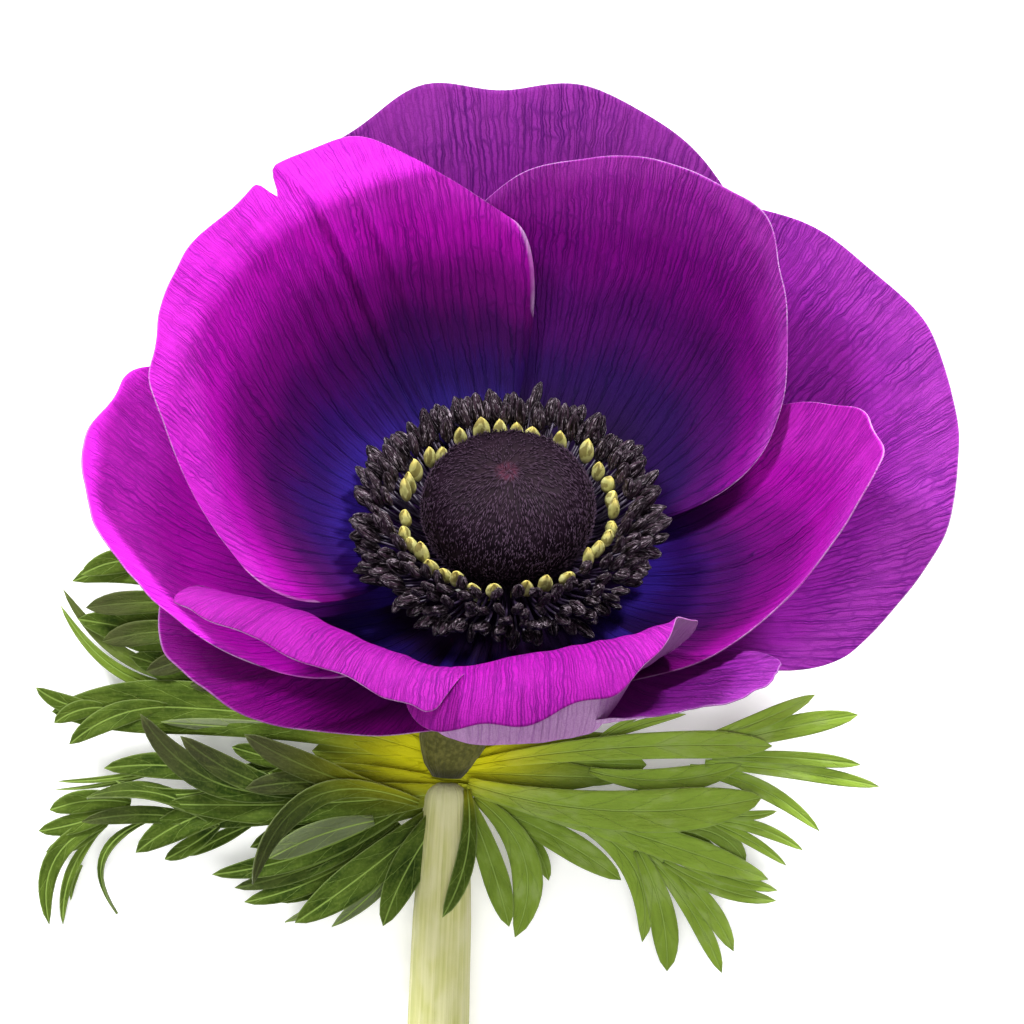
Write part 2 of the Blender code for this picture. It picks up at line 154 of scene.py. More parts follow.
class Nodes:
    """Short calls for building a material's node tree."""

    def __init__(self, name):
        self.mat = bpy.data.materials.new(name)
        self.mat.use_nodes = True
        self.tree = self.mat.node_tree
        self.tree.nodes.clear()
        self.out = self.tree.nodes.new("ShaderNodeOutputMaterial")

    def new(self, kind, inputs=None, **props):
        node = self.tree.nodes.new("ShaderNode" + kind)
        for key, value in props.items():
            setattr(node, key, value)
        for key, value in (inputs or {}).items():
            self.put(node.inputs[key], value)
        return node

    def put(self, socket, value):
        if isinstance(value, bpy.types.NodeSocket):
            self.tree.links.new(value, socket)
        elif value is not None:
            if socket.type == "RGBA" and len(value) == 3:
                value = (*value, 1.0)
            socket.default_value = value

    def attr(self, name, out="Fac"):
        return self.new("Attribute", attribute_name=name).outputs[out]

    def math(self, op, a, b=None, c=None):
        node = self.new("Math", operation=op)
        for socket, value in zip(node.inputs, (a, b, c)):
            self.put(socket, value)
        return node.outputs[0]

    def add(self, a, b):
        return self.math("ADD", a, b)

    def mul(self, a, b):
        return self.math("MULTIPLY", a, b)

    def line(self, value, slope, start):
        """value times slope, plus start."""
        return self.math("MULTIPLY_ADD", value, slope, start)

    def place(self):
        return self.new("TexCoord").outputs["Object"]

    def xyz(self, x, y, z=0.0):
        return self.new("CombineXYZ", {"X": x, "Y": y, "Z": z}).outputs[0]

    def parts(self, name):
        """The three numbers of a vector attribute."""
        node = self.new("SeparateXYZ", {"Vector": self.attr(name, "Vector")})
        return tuple(node.outputs)

    def noise(self, vector, scale=1.0, detail=2.0, rough=0.5):
        return self.new("TexNoise", {"Vector": vector, "Scale": scale, "Detail": detail,
                                     "Roughness": rough}).outputs["Fac"]

    def streaks(self, x, x_scale, y, y_scale, z, detail=2.0, rough=0.5):
        place = self.xyz(self.mul(x, x_scale), self.mul(y, y_scale), z)
        return self.noise(place, 1.0, detail, rough)

    def step(self, value, low, high, a=0.0, b=1.0):
        return self.new("MapRange", {"Value": value, "From Min": low, "From Max": high,
                                     "To Min": a, "To Max": b},
                        interpolation_type="SMOOTHSTEP").outputs[0]

    def mix(self, fac, a, b, blend="MIX"):
        node = self.new("Mix", data_type="RGBA", blend_type=blend, clamp_factor=True)
        self.put(node.inputs[0], fac)
        self.put(node.inputs[6], a)
        self.put(node.inputs[7], b)
        return node.outputs[2]

    def ramp(self, fac, stops):
        node = self.new("ValToRGB", {"Fac": fac})
        ramp = node.color_ramp
        ramp.interpolation = "EASE"
        while len(ramp.elements) < len(stops):
            ramp.elements.new(0.5)
        for element, (place, *colour) in zip(ramp.elements, stops):
            element.position = place
            element.color = (*colour, 1.0)
        return node.outputs[0]

    def bump(self, height, distance):
        node = self.new("Bump", {"Height": height, "Distance": distance, "Strength": 1.0})
        return node.outputs[0]

    def principled(self, colour, rough, normal=None, gloss=0.5, **inputs):
        node = self.new("BsdfPrincipled", {"Base Color": colour, "Roughness": rough,
                                           "Normal": normal, "Specular IOR Level": gloss})
        for key, value in inputs.items():
            self.put(node.inputs[key.replace("_", " ")], value)
        return node.outputs[0]

    def thin(self, front, colour, share, normal):
        """Mixes in light that shows through a thin leaf or petal."""
        through = self.new("BsdfTranslucent", {"Color": colour, "Normal": normal})
        return self.new("MixShader", {0: share, 1: front, 2: through.outputs[0]}).outputs[0]

    def done(self, shader):
        self.tree.links.new(shader, self.out.inputs["Surface"])
        return self.mat


# ---------- tepal materials

def vein_lines(m, a, u, reach, per_radian, start, span, wide):
    """Vein strength: lines per_radian apart that each send off one branch."""
    x = m.mul(a, per_radian)
    drift = m.step(u, start, start + span, 0, 0.5)
    own = m.math("PINGPONG", x, 0.5)
    branch = m.math("PINGPONG", m.math("SUBTRACT", x, drift), 0.5)
    near = m.math("MINIMUM", own, branch)
    gap = m.mul(m.math("DIVIDE", near, per_radian), reach)
    return m.step(gap, 0, wide, 1, 0)


def tepal_material(name, colours, vein_colour, vein_depth, through, sheen, share=0.28,
                   streak=0.25, net=0.5):
    """Petal surface from its fan attribute: angle, distance from the claw, distance to rim."""
    m = Nodes(name)
    angle, u, rim = m.parts("fan")
    own, shade = m.attr("own"), m.attr("shade")
    reach = m.line(u, 40, 6)
    drift = m.math("SUBTRACT", m.streaks(angle, 4, u, 2, own), 0.5)
    wiggle = m.math("SUBTRACT", m.streaks(angle, 30, u, 26, own), 0.5)
    a = m.line(drift, 0.1, angle)
    a = m.line(wiggle, 0.02, a)
    late = m.noise(m.xyz(m.mul(angle, 22), own, 3), 1, 1)
    uu = m.add(u, m.line(late, 0.4, -0.2))
    # main veins, then a finer generation that begins further out
    v1 = vein_lines(m, a, uu, reach, 14, 0.25, 0.35, 0.13)
    v2 = vein_lines(m, a, uu, reach, 29, 0.55, 0.35, 0.1)
    v2 = m.mul(v2, m.step(uu, 0.45, 0.6, 0, 0.9))
    v3 = vein_lines(m, a, uu, reach, 58, 0.72, 0.3, 0.08)
    v2 = m.math("MAXIMUM", v2, m.mul(v3, m.step(uu, 0.5, 0.7, 0, 0.75)))
    # a net of long cells between the veins
    cell = m.xyz(m.mul(a, 38), m.mul(u, 15), own)
    wall = m.new("TexVoronoi", {"Vector": cell, "Scale": 1.0, "Randomness": 0.9},
                 feature="DISTANCE_TO_EDGE").outputs["Distance"]
    mesh = m.mul(m.step(wall, 0, 0.13, 1, 0), m.step(u, 0.25, 0.7, 0.2, net))
    patch = m.streaks(angle, 12, u, 9, own, 3)
    veins = m.math("MAXIMUM", m.math("MAXIMUM", v1, v2), mesh)
    veins = m.mul(veins, m.step(patch, 0.25, 0.65, 0.4, 1))
    fibre = m.streaks(angle, 150, u, 9, own, 3, 0.6)
    grain = m.streaks(angle, 420, u, 420, own, 1)
    # colour along the petal, pushed about by slow streaks
    along = m.add(shade, m.mul(drift, 0.16))
    along = m.add(along, m.line(fibre, 0.14, -0.07))
    colour = m.ramp(along, colours)
    colour = m.mix(m.step(fibre, 0.35, 0.75, 0, streak), colour, (0, 0, 0), "MULTIPLY")
    colour = m.mix(m.step(grain, 0.4, 0.75, 0, 0.5), colour, (0.45, 0.3, 0.5), "MULTIPLY")
    colour = m.mix(m.mul(veins, vein_depth), colour, vein_colour, "MULTIPLY")
    colour = m.new("VectorMath", {0: colour, "Scale": m.attr("gain")},
                   operation="SCALE").outputs[0]
    edge = m.mul(m.step(rim, 0.02, 0.1, 1, 0), m.step(patch, 0.3, 0.7, 0.1, 0.5))
    colour = m.mix(edge, colour, PALE)
    height = m.add(m.mul(veins, -0.45), m.mul(fibre, 0.55))
    height = m.add(height, m.mul(grain, 0.14))
    normal = m.bump(height, 0.00016)
    rough = m.step(fibre, 0.2, 0.8, 0.52, 0.68)
    front = m.principled(colour, rough, normal, gloss=0.04, Sheen_Weight=sheen,
                         Sheen_Roughness=0.4, Sheen_Tint=(0.9, 0.3, 1.0, 1.0))
    tint = m.mix(0.6, colour, through)
    return m.done(m.thin(front, tint, share, normal))


# colours along a tepal: place on the ramp, then red, green and blue
INNER = [(0, 0.012, 0.003, 0.02), (0.17, 0.012, 0.003, 0.03), (0.27, 0.022, 0.008, 0.185),
         (0.38, 0.02, 0.002, 0.095), (0.5, 0.045, 0.001, 0.08), (0.62, 0.14, 0.001, 0.15),
         (0.8, 0.37, 0.003, 0.34), (1, 0.5, 0.018, 0.46)]
# a darker copy of the inner colours for the upper-right inner tepal: painted shade
SHADED_INNER = [(0, 0.006, 0.001, 0.012), (0.22, 0.007, 0.001, 0.022), (0.38, 0.012, 0.001, 0.045),
        (0.55, 0.05, 0.001, 0.08), (0.74, 0.15, 0.001, 0.165), (0.9, 0.25, 0.01, 0.26),
        (1, 0.34, 0.03, 0.35)]
OUTER = [(0, 0.01, 0.002, 0.03), (0.25, 0.04, 0.003, 0.1), (0.5, 0.14, 0.005, 0.18),
         (0.75, 0.21, 0.012, 0.25), (1, 0.27, 0.03, 0.31)]
UNDER = [(0, 0.2, 0.17, 0.1), (0.35, 0.38, 0.2, 0.4), (0.7, 0.54, 0.33, 0.57),
         (1, 0.58, 0.37, 0.6)]
VEIN = (0.3, 0.2, 0.5)
GLOW = (0.55, 0.002, 0.42)
PALE = (0.55, 0.36, 0.58)


def tepal_materials():
    return {
        "bright": tepal_material("TepalBright", INNER, VEIN, 0.85, GLOW, 0.02, 0.14, net=0.45),
        "shaded_inner": tepal_material("TepalShadedInner", SHADED_INNER, VEIN, 0.85, (0.3, 0.002, 0.3), 0.02, 0.14,
                               streak=0.3, net=0.45),
        "outer": tepal_material("TepalOuter", OUTER, (0.24, 0.1, 0.42), 0.95,
                                (0.45, 0.02, 0.42), 0.06),
        "under": tepal_material("TepalUnder", UNDER, (0.7, 0.5, 0.8), 0.6, (0.5, 0.05, 0.45), 0.2),
    }


# ---------- tepal shapes

# az: direction round the flower in degrees; length, wl, wr: length and half widths in mm;
# belly, full, shoulder, claw: the flat outline; base, cup, b0, b1: slope in degrees near the
# claw and near the rim, and where along the tepal it changes; roll, q0, q1: how far the rim
# turns outwards, and where; _l and _r: changes towards the two sides; level: 0 is innermost;
# keel: how far the back bulges in mm; folds: side position -1..1, half width, height in mm,
# start and end along the tepal; notches: side position, half width, share of the length;
# ruffle, waves, phase: waves of the rim; pale: change of the place on the colour ramp, its
# side changes pale_l and pale_r partly the tepal's own colour and partly painted light; gain:
# brightness, set per tepal partly as painted light and shade; painted shade and painted rim
# light: how much painted shade darkens the lower part and painted light brightens the rolled rim;
# nu, nv: points across and along.
TEPAL_DEFAULTS = dict(
    claw=3.5, belly=0.5, belly_l=0, belly_r=0, full=0.9, full_l=0, full_r=0, shoulder=0.3,
    base=4, cup=60, cup_l=0, cup_r=0, b0=0.1, b1=0.7, roll=0, roll_l=0, roll_r=0, q0=0.75, q1=1.0,
    folds=(), notches=(), ruffle=0.0, waves=4.0, phase=0.0, keel=0.0, look="bright", gain=1.0,
    pale=0.0, pale_l=0.1, pale_r=0.1, painted_shade=0.0, painted_rim_light=0.0, nu=110, nv=90)

TEPALS = {
    "tepal_inner_left": dict(
        az=150, length=42.6, wl=24.6, wr=32, belly=0.3, full=0.5, level=0, base=8, cup=68,
        b0=0.12, b1=0.68, nu=160, nv=110, cup_l=-14, cup_r=-8, shoulder=0.45,
        pale=-0.04, pale_l=0.55, pale_r=0.22, painted_shade=0.55, painted_rim_light=0.1, roll=36,
        q0=0.85, q1=0.92, roll_l=-34, roll_r=12,
        folds=((-0.36, 0.014, 0.7, 0.15, 1.1), (-0.29, 0.014, 0.6, 0.12, 0.92),
               (-0.235, 0.014, 0.6, 0.1, 0.85), (-0.18, 0.016, 0.5, 0.1, 0.85),
               (-0.11, 0.016, 0.5, 0.1, 0.75), (-0.03, 0.02, 0.4, 0.1, 0.7),
               (-0.5, 0.02, 0.5, 0.2, 0.9)),
        notches=((-0.31, 0.022, 0.06),)),
    "tepal_inner_upper_right": dict(
        az=53, length=40, wl=26, wr=17, belly=0.43, full=0.82, level=1, base=8, cup=60, b1=0.8,
        shoulder=0.65, cup_l=4, cup_r=0, look="shaded_inner", pale_r=0.3),
    "tepal_inner_front": dict(
        az=282.4, length=40.4, wl=15.6, wr=19.7, belly=0.72, belly_l=-0.164, belly_r=0.045,
        full=0.68, full_l=0.74, level=2, base=3, cup=70, b0=0.17, b1=0.51, roll=129, q0=0.703,
        q1=1.07, roll_l=-52.7, roll_r=8, cup_l=-8.4, cup_r=-18, shoulder=0.606, ruffle=0.15,
        gain=0.66, keel=5.0),
    "tepal_inner_right": dict(
        az=-14, length=40.5, wl=18, wr=14.5, belly=0.36, belly_r=-0.28, full=1.0, full_r=0.8,
        level=3, base=4, cup=67, b0=0.08, b1=0.8, cup_l=6, cup_r=4,
        folds=((0.1, 0.08, 0.6, 0.2, 0.9),), pale=0.05, pale_l=0.45, painted_shade=0.65),
    "tepal_inner_front_left": dict(
        az=234.6, length=38.2, wl=18.6, wr=16.6, belly=0.787, belly_l=0.075, belly_r=0.03,
        full=0.795, full_r=0.437, level=4, base=2, cup=69.1, b0=0.131, b1=0.532, roll=93.9,
        q0=0.73, q1=1.063, roll_l=-32.5, roll_r=-22.5, cup_l=-4.4, cup_r=-44.7, shoulder=0.7,
        gain=0.57),
    "tepal_outer_top": dict(az=91, length=48.5, wl=27, wr=28, belly=0.43, full=1.1, level=4,
                            cup=38, look="outer", gain=0.8),
    "tepal_outer_right": dict(
        az=25, length=42.3, wl=31, wr=25.5, belly=0.42, full=1.1, level=6, base=3, cup=36,
        shoulder=0.58, cup_l=10, cup_r=-16, look="outer", pale_l=-0.1, pale_r=0.55, gain=1.15,
        nu=130),
    "tepal_outer_left": dict(az=178, length=38.5, wl=15, wr=16, belly=0.42, full=0.5, level=5,
                             cup=48, b0=0.24, b1=0.75, pale=0.15, gain=1.5, painted_shade=0.3),
    "tepal_outer_front_left": dict(
        az=202, length=29, wl=15, wr=19, belly=0.17, full=1.25, level=6.5, base=4, cup=29,
        b0=0.3, b1=1.05, cup_l=-8, cup_r=-12, gain=0.65,
        folds=((0.22, 0.05, 1.2, 0.45, 1.0), (-0.02, 0.05, -0.8, 0.5, 1.0),
               (0.5, 0.06, -0.8, 0.5, 1.0))),
    "tepal_outer_front_right": dict(
        az=-50, length=35, wl=6, wr=10, belly=0.62, full=0.8, level=5, cup=46, b0=0.12,
        b1=0.62, cup_r=24, look="outer", gain=1.1),
}


def tepal_flat(q, s, t):
    w = np.where(t < 0, q["wr"], q["wl"])
    a = np.abs(t) * math.pi / 2
    rim_x = np.sign(t) * w * np.sin(a)
    belly = q["belly"] + np.where(t < 0, q["belly_r"], q["belly_l"])
    full = q["full"] + np.where(t < 0, q["full_r"], q["full_l"])
    rim_y = q["length"] * (belly + (1 - belly) * np.maximum(np.cos(a), 0) ** full)
    x = (1 - s) ** 2 * q["claw"] * t + (2 * s * (1 - s) + s * s) * rim_x
    y = (2 * s * (1 - s) * q["shoulder"] + s * s) * rim_y
    shrink = np.ones_like(t * s)
    for place, width, depth in q["notches"]:
        shrink = shrink - depth * bell(t, place, width) * s ** 4
    rng = np.random.default_rng(int(q["az"]) + 900)
    for k in range(3, 12):
        size = 0.01 / math.sqrt(k)
        shrink = shrink + size * np.sin(k * 1.7 * t + rng.uniform(0, 6.28)) * s ** 5
    return x * shrink, CLAW_RADIUS + y * shrink


def tepal_slope(q, r, alpha):
    """Slope above the disc at flat radius r, first without and then with the rolled rim."""
    u = r / q["length"]
    left, right = smooth(alpha / SIDE_ANGLE), smooth(-alpha / SIDE_ANGLE)
    cup = q["cup"] + q["cup_l"] * left + q["cup_r"] * right
    roll = q["roll"] + q["roll_l"] * left + q["roll_r"] * right
    rise = smooth((u - q["b0"]) / (q["b1"] - q["b0"]))
    curl = smooth((u - q["q0"]) / (q["q1"] - q["q0"]))
    plain = np.radians(q["base"] + (cup - q["base"]) * rise)
    return plain, plain - np.radians(roll * curl)


def tepal_points(q, s, t, lift):
    """Surface points of a tepal and its fan coordinates."""
    x, y = tepal_flat(q, s, t)
    r = np.maximum(np.hypot(x, y) - CLAW_RADIUS, 0.0)
    alpha = np.arctan2(x, y)
    steps = (np.arange(24) + 0.5) / 24
    _, along = tepal_slope(q, r[..., None] * steps, alpha[..., None])
    rho = CLAW_RADIUS + r * np.cos(along).mean(-1)
    z = r * np.sin(along).mean(-1)
    plain, slope = tepal_slope(q, r, alpha)
    down = TEPAL_PITCH * q["level"]
    rho = rho + down * np.sin(plain)
    z = z - down * np.cos(plain)
    off = lift + np.zeros_like(r)
    rng = np.random.default_rng(int(q["az"]) + 400)
    for k in range(5, 26, 2):
        size = 0.34 / k ** 0.8
        off = off + size * np.sin(k * 1.9 * t + rng.uniform(0, 6.28)) * smooth(s * 1.4) * 0.6
    for place, width, height, start, end in q["folds"]:
        run = smooth((s - start) / 0.2) * (1 - smooth((s - end + 0.2) / 0.25))
        off = off + height * np.exp(-np.abs(t - place) / width) * run
    off = off + q["ruffle"] * np.sin(q["waves"] * math.pi * t + q["phase"]) * s ** 4
    rho = rho - off * np.sin(slope)
    z = z + off * np.cos(slope)
    th = math.radians(q["az"]) + alpha
    fan = np.stack([alpha, r / q["length"], (1 - np.maximum(s, np.abs(t) * s)) * q["length"]], -1)
    return np.stack([rho * np.cos(th), rho * np.sin(th), z], -1), fan


def build_tepals(mats):
    for index, (name, spec) in enumerate(TEPALS.items()):
        q = dict(TEPAL_DEFAULTS, **spec)
        nu, nv = q["nu"], q["nv"]
        t = np.linspace(-1, 1, nu)[None, :] * np.ones((nv, 1))
        s = np.linspace(0, 1, nv)[:, None] ** 0.85 * np.ones((1, nu))
        top, fan = tepal_points(q, s, t, 0.0)
        thick = TEPAL_THICK * ((1 - 0.55 * s ** 3) * (1 - 0.75 * np.abs(t) ** 8))[..., None]
        low, _ = tepal_points(q, s, t, -TEPAL_THICK)
        low = top + (low - top) * thick / TEPAL_THICK
        side = (1 - np.abs(t)) * (q["wl"] + q["wr"]) / 2 * smooth(s * 2)
        fan[..., 2] = np.minimum(fan[..., 2], side + (1 - smooth(s * 2)) * 9)
        u = fan[..., 1]
        # painted light and shade on the tepal: the rolled rim beyond q0 is brightened as a lit
        # band, and the lower part is darkened as painted shade; both are strongest on the right
        # side (t < 0) and scale the gain
        painted_rim_band = smooth((u - q["q0"]) / 0.03) * smooth((-t - 0.1) / 0.3)
        painted_shade_zone = (1 - smooth((u - 0.3) / 0.55)) * (0.4 + 0.6 * smooth((-t - 0.1) / 0.3))
        gain = q["gain"] * (1 + q["painted_rim_light"] * painted_rim_band) * (1 - q["painted_shade"] * painted_shade_zone)
        fan = fan.reshape(-1, 3)
        faces, kind = sheet_faces(nv, nu)
        points = flower(np.vstack([top.reshape(-1, 3), low.reshape(-1, 3)]))
        keel = bell(u, KEEL_PLACE, np.where(u > KEEL_PLACE, 0.17, 0.27)) * smooth(s * 2)
        keel = keel * (1 - np.abs(t) ** 4) * (1 - smooth((t - 0.15) / 0.4))
        # the underside is paler where its back bulges
        pale_side = gain + (1.1 - gain) * np.minimum(keel * 1.3, 1) * (q["keel"] > 0)
        points[u.size:, 1] -= q["keel"] * keel.ravel()
        # shade: place on the colour ramp along the tepal; the pale_l and pale_r terms shift it
        # towards the sides, partly the tepal's own colour and partly painted light on the lit
        # sides
        attrs = {"fan": np.vstack([fan, fan]), "own": np.full(2 * len(fan), 7.3 * index),
                 "gain": np.concatenate([gain.ravel(), pale_side.ravel()]),
                 "shade": np.tile((0.45 * u + 0.55 * s
                                   + (q["pale"] + q["pale_l"] * smooth(t)
                                      + q["pale_r"] * smooth(-t)) * s).ravel(), 2)}
        make(name.replace("tepal", "petal"), points, faces, [mats[q["look"]], mats["under"]],
             [name], attrs,
             [k % 2 for k in kind])


# ---------- stamens and dome

def tube(path, radius, sides, wobble=0.0):
    """Closed tube round a path; returns points, faces and (round, along) coordinates."""
    path = np.asarray(path, float)
    n = len(path)
    tangent = directions(path)
    u = E1 - tangent * (tangent @ E1)[:, None]
    u /= np.linalg.norm(u, axis=1, keepdims=True)
    v = np.cross(tangent, u)
    ph = angles(sides)
    r = np.broadcast_to(np.asarray(radius, float)[:, None], (n, sides)) * (1 + wobble)
    ring = (u[:, None] * np.cos(ph)[None, :, None] + v[:, None] * np.sin(ph)[None, :, None])
    pts = path[:, None] + ring * r[..., None]
    pts = np.vstack([pts.reshape(-1, 3), path[:1], path[-1:]])
    coords = np.zeros((len(pts), 2))
    coords[:-2, 0] = np.tile(ph, n)
    coords[:-2, 1] = np.repeat(np.linspace(0, 1, n), sides)
    coords[-1, 1] = 1.0
    return pts, ring_faces(n, sides), coords


class Pile:
    """Collects many small closed solids into one mesh."""

    def __init__(self):
        self.pts, self.faces, self.offsets, self.count, self.attrs = [], [], [], 0, {}

    def add(self, pts, faces, **attrs):
        self.pts.append(pts)
        self.faces.append(faces)
        for key, value in attrs.items():
            value = np.asarray(value, float)
            if value.ndim < 2:
                value = np.full(len(pts), value)
            self.attrs.setdefault(key, []).append(value)
        self.offsets.append(self.count)
        self.count += len(pts)

    def make(self, name, materials, replaces, slot, face_mats=None):
        faces = []
        for offset, group in zip(self.offsets, self.faces):
            faces += [[i + offset for i in f] for f in group]
        attrs = {key: np.concatenate(values) for key, values in self.attrs.items()}
        make(name, np.vstack(self.pts), faces, materials, replaces, attrs, face_mats)


def anther(rng, length, width, thick, lobes, crinkle, pointed):
    """Two-lobed anther along local z: points, faces, how raised each point is, and its place
    round and along the anther."""
    rows, sides = 11, 14
    v = np.linspace(0.02, 0.985, rows)
    shape = np.sin(math.pi * v ** (0.85 if pointed else 1.0)) ** (0.75 if pointed else 0.5)
    ph = angles(sides)
    groove = 1 - lobes * bell(ph, math.pi / 2, 0.42)
    groove -= lobes * bell(ph, 3 * math.pi / 2, 0.42)
    bump = np.zeros((rows, sides))
    for _ in range(7):
        a, b = rng.integers(1, 6), rng.uniform(4, 15)
        bump += np.sin(a * ph + b * v[:, None] + rng.uniform(0, 6.28)) / 7
    bump *= crinkle
    r = shape[:, None] * groove * (1 + bump)
    x = r * np.cos(ph) * width / 2
    y = r * np.sin(ph) * thick / 2
    bow = 0.12 * length * (v[:, None] - 0.5) ** 2 * rng.uniform(0.4, 1.6)
    z = np.repeat((v * length)[:, None], sides, 1)
    pts = np.stack([x, y + bow, z], -1).reshape(-1, 3)
    pts = np.vstack([pts, [[0, 0, 0]], [[0, 0, length]]])
    crest = bump / max(crinkle, 1e-6) + groove - 1
    crest = np.concatenate([crest.ravel(), [0, 0]])
    skin = np.stack(np.broadcast_arrays(np.cos(ph), np.sin(ph), v[:, None]), -1)
    skin = np.vstack([skin.reshape(-1, 3), [[0, 0, 0]], [[0, 0, 1]]])
    return pts, ring_faces(rows, sides), crest, skin


def stand(points, at, axis, turn):
    """Places local points with their z along axis, turned about it."""
    axis = axis / np.linalg.norm(axis)
    side = np.cross(axis, UP)
    side /= np.linalg.norm(side)
    front = np.cross(side, axis)
    c, s = math.cos(turn), math.sin(turn)
    x, y = points[:, 0:1] * c - points[:, 1:2] * s, points[:, 0:1] * s + points[:, 1:2] * c
    return at + x * side + y * front + points[:, 2:3] * axis


# rows of anthers: radius, height, lean above the disc in degrees and, for dark ones, how many
ANTHER_ROWS = [(11.6, 5.0, 68, 38), (12.3, 4.9, 57, 44), (12.9, 4.4, 46, 46), (13.1, 3.6, 35, 46),
               (12.9, 2.8, 24, 44), (12.4, 2.1, 12, 38)]
PALE_ROW = (10.2, 4.1, 78)


def build_stamens():
    rng = np.random.default_rng(11)
    dark, pale, stalks = Pile(), Pile(), Pile()

    def one(pile, rho, z, lean, ph, spec):
        length = spec["length"] * rng.uniform(0.78, 1.16)
        width = spec["width"] * rng.uniform(0.85, 1.15)
        pts, faces, crest, skin = anther(rng, length, width, spec["thick"], spec["lobes"],
                                         spec["crinkle"], spec["pointed"])
        side = math.radians(rng.normal(0, spec["stray"]))
        e = math.radians(lean + rng.normal(0, spec["stray"] * 0.7))
        axis = polar(math.cos(e), ph + side, math.sin(e))
        at = polar(rho, ph, z)
        placed = stand(pts, at, axis, rng.normal(0, 0.5))
        pile.add(flower(placed), faces, crest=crest, own=rng.uniform(0, 50), skin_x=skin[:, 0],
                 skin_y=skin[:, 1], skin_z=skin[:, 2])
        foot = polar(6.0, ph, 0.7 + 0.12 * z)
        u = np.linspace(0, 1, 5)[:, None]
        path = foot * (1 - u) + at * u
        path[:, 2] -= 0.9 * np.sin(math.pi * u[:, 0])
        tp, tf, _ = tube(flower(path), np.linspace(0.2, 0.12, 5), 5)
        stalks.add(tp, tf, own=rng.uniform(0, 50))

    black = dict(length=3.1, width=1.35, thick=1.05, lobes=0.3, crinkle=0.24, stray=11,
                 pointed=False)
    for rho, z, lean, count in ANTHER_ROWS:
        start = rng.uniform(0, 6.28)
        for k in range(count):
            ph = start + 2 * math.pi * (k + rng.normal(0, 0.16)) / count
            one(dark, rho + rng.normal(0, 0.32), z + rng.normal(0, 0.35), lean, ph, black)
    yellow = dict(length=2.9, width=1.6, thick=1.3, lobes=0.14, crinkle=0.03, stray=6,
                  pointed=True)
    radius, height, lean = PALE_ROW
    ph = 0.0
    while ph < 2 * math.pi - 0.1:
        one(pale, radius + rng.normal(0, 0.16), height + rng.normal(0, 0.25), lean, ph, yellow)
        ph += rng.choice([0.15, 0.18, 0.23, 0.3], p=[0.35, 0.3, 0.2, 0.15])

    m = Nodes("AntherDark")
    own = m.attr("own")
    wrap = m.xyz(m.mul(m.attr("skin_x"), 2.6), m.mul(m.attr("skin_y"), 2.6),
                 m.line(m.attr("skin_z"), 1.5, own))
    fold = m.noise(wrap)
    ridge = m.math("SUBTRACT", 1, m.math("ABSOLUTE", m.line(fold, 7, -3.6)))
    fine = m.noise(m.place(), 2600)
    # painted glints: a pale grey-lilac on the thin ridges stands in for highlights
    painted_glint = m.mul(m.step(ridge, 0.6, 1), m.step(fine, 0.42, 0.6, 0.15, 1))
    colour = m.mix(m.step(fold, 0.35, 0.7), (0.005, 0.002, 0.004), (0.042, 0.022, 0.036))
    colour = m.mix(m.mul(painted_glint, 0.65), colour, (0.46, 0.38, 0.44))
    rise = m.line(m.step(ridge, 0, 1), 0.8, fold)
    normal = m.bump(rise, 0.0004)
    black_mat = m.done(m.principled(colour, 0.36, normal, gloss=0.22))
    m = Nodes("AntherPale")
    cloud = m.noise(m.place(), 900, 3)
    colour = m.mix(m.step(cloud, 0.35, 0.7), (0.33, 0.32, 0.1), (0.5, 0.48, 0.2))
    colour = m.mix(m.step(m.attr("skin_z"), 0.72, 1), colour, (0.6, 0.5, 0.12))
    colour = m.mix(m.step(m.attr("skin_z"), 0, 0.45, 0.75, 0), colour, (0.1, 0.08, 0.03))
    colour = m.mix(m.step(m.attr("crest"), -0.12, 0, 0.7, 0), colour, (0.12, 0.09, 0.02))
    normal = m.bump(cloud, 0.00008)
    pale_mat = m.done(m.principled(colour, 0.42, normal, gloss=0.3))
    m = Nodes("Filament")
    stalk_mat = m.done(m.principled((0.018, 0.008, 0.03), 0.5))
    dark.make("anthers_dark", [black_mat],
              ["anther_ring_upper", "anther_ring_middle", "anther_ring_lower"], "anthers_dark")
    pale.make("anthers_pale", [pale_mat], ["anther_ring_pale"], "anthers_pale")
    stalks.make("filaments", [stalk_mat], ["filament_whorl"], "filaments")


# outline of the dome: radius and height from its foot to its pole
DOME = [(3.6, 0.9), (6.2, 1.5), (7.9, 2.8), (8.5, 4.8), (8.45, 6.6), (7.7, 8.6), (6.2, 10.0),
        (4.0, 10.9), (1.8, 11.15), (0.0, 11.0)]
HAIRS = 8200
HAIRLESS_FOOT = 3.4
HAIR_FACES = [[0, 5, 6, 3], [5, 1, 2, 6], [1, 0, 3, 2], [3, 6, 4], [6, 2, 4], [2, 3, 4], [0, 1, 5]]


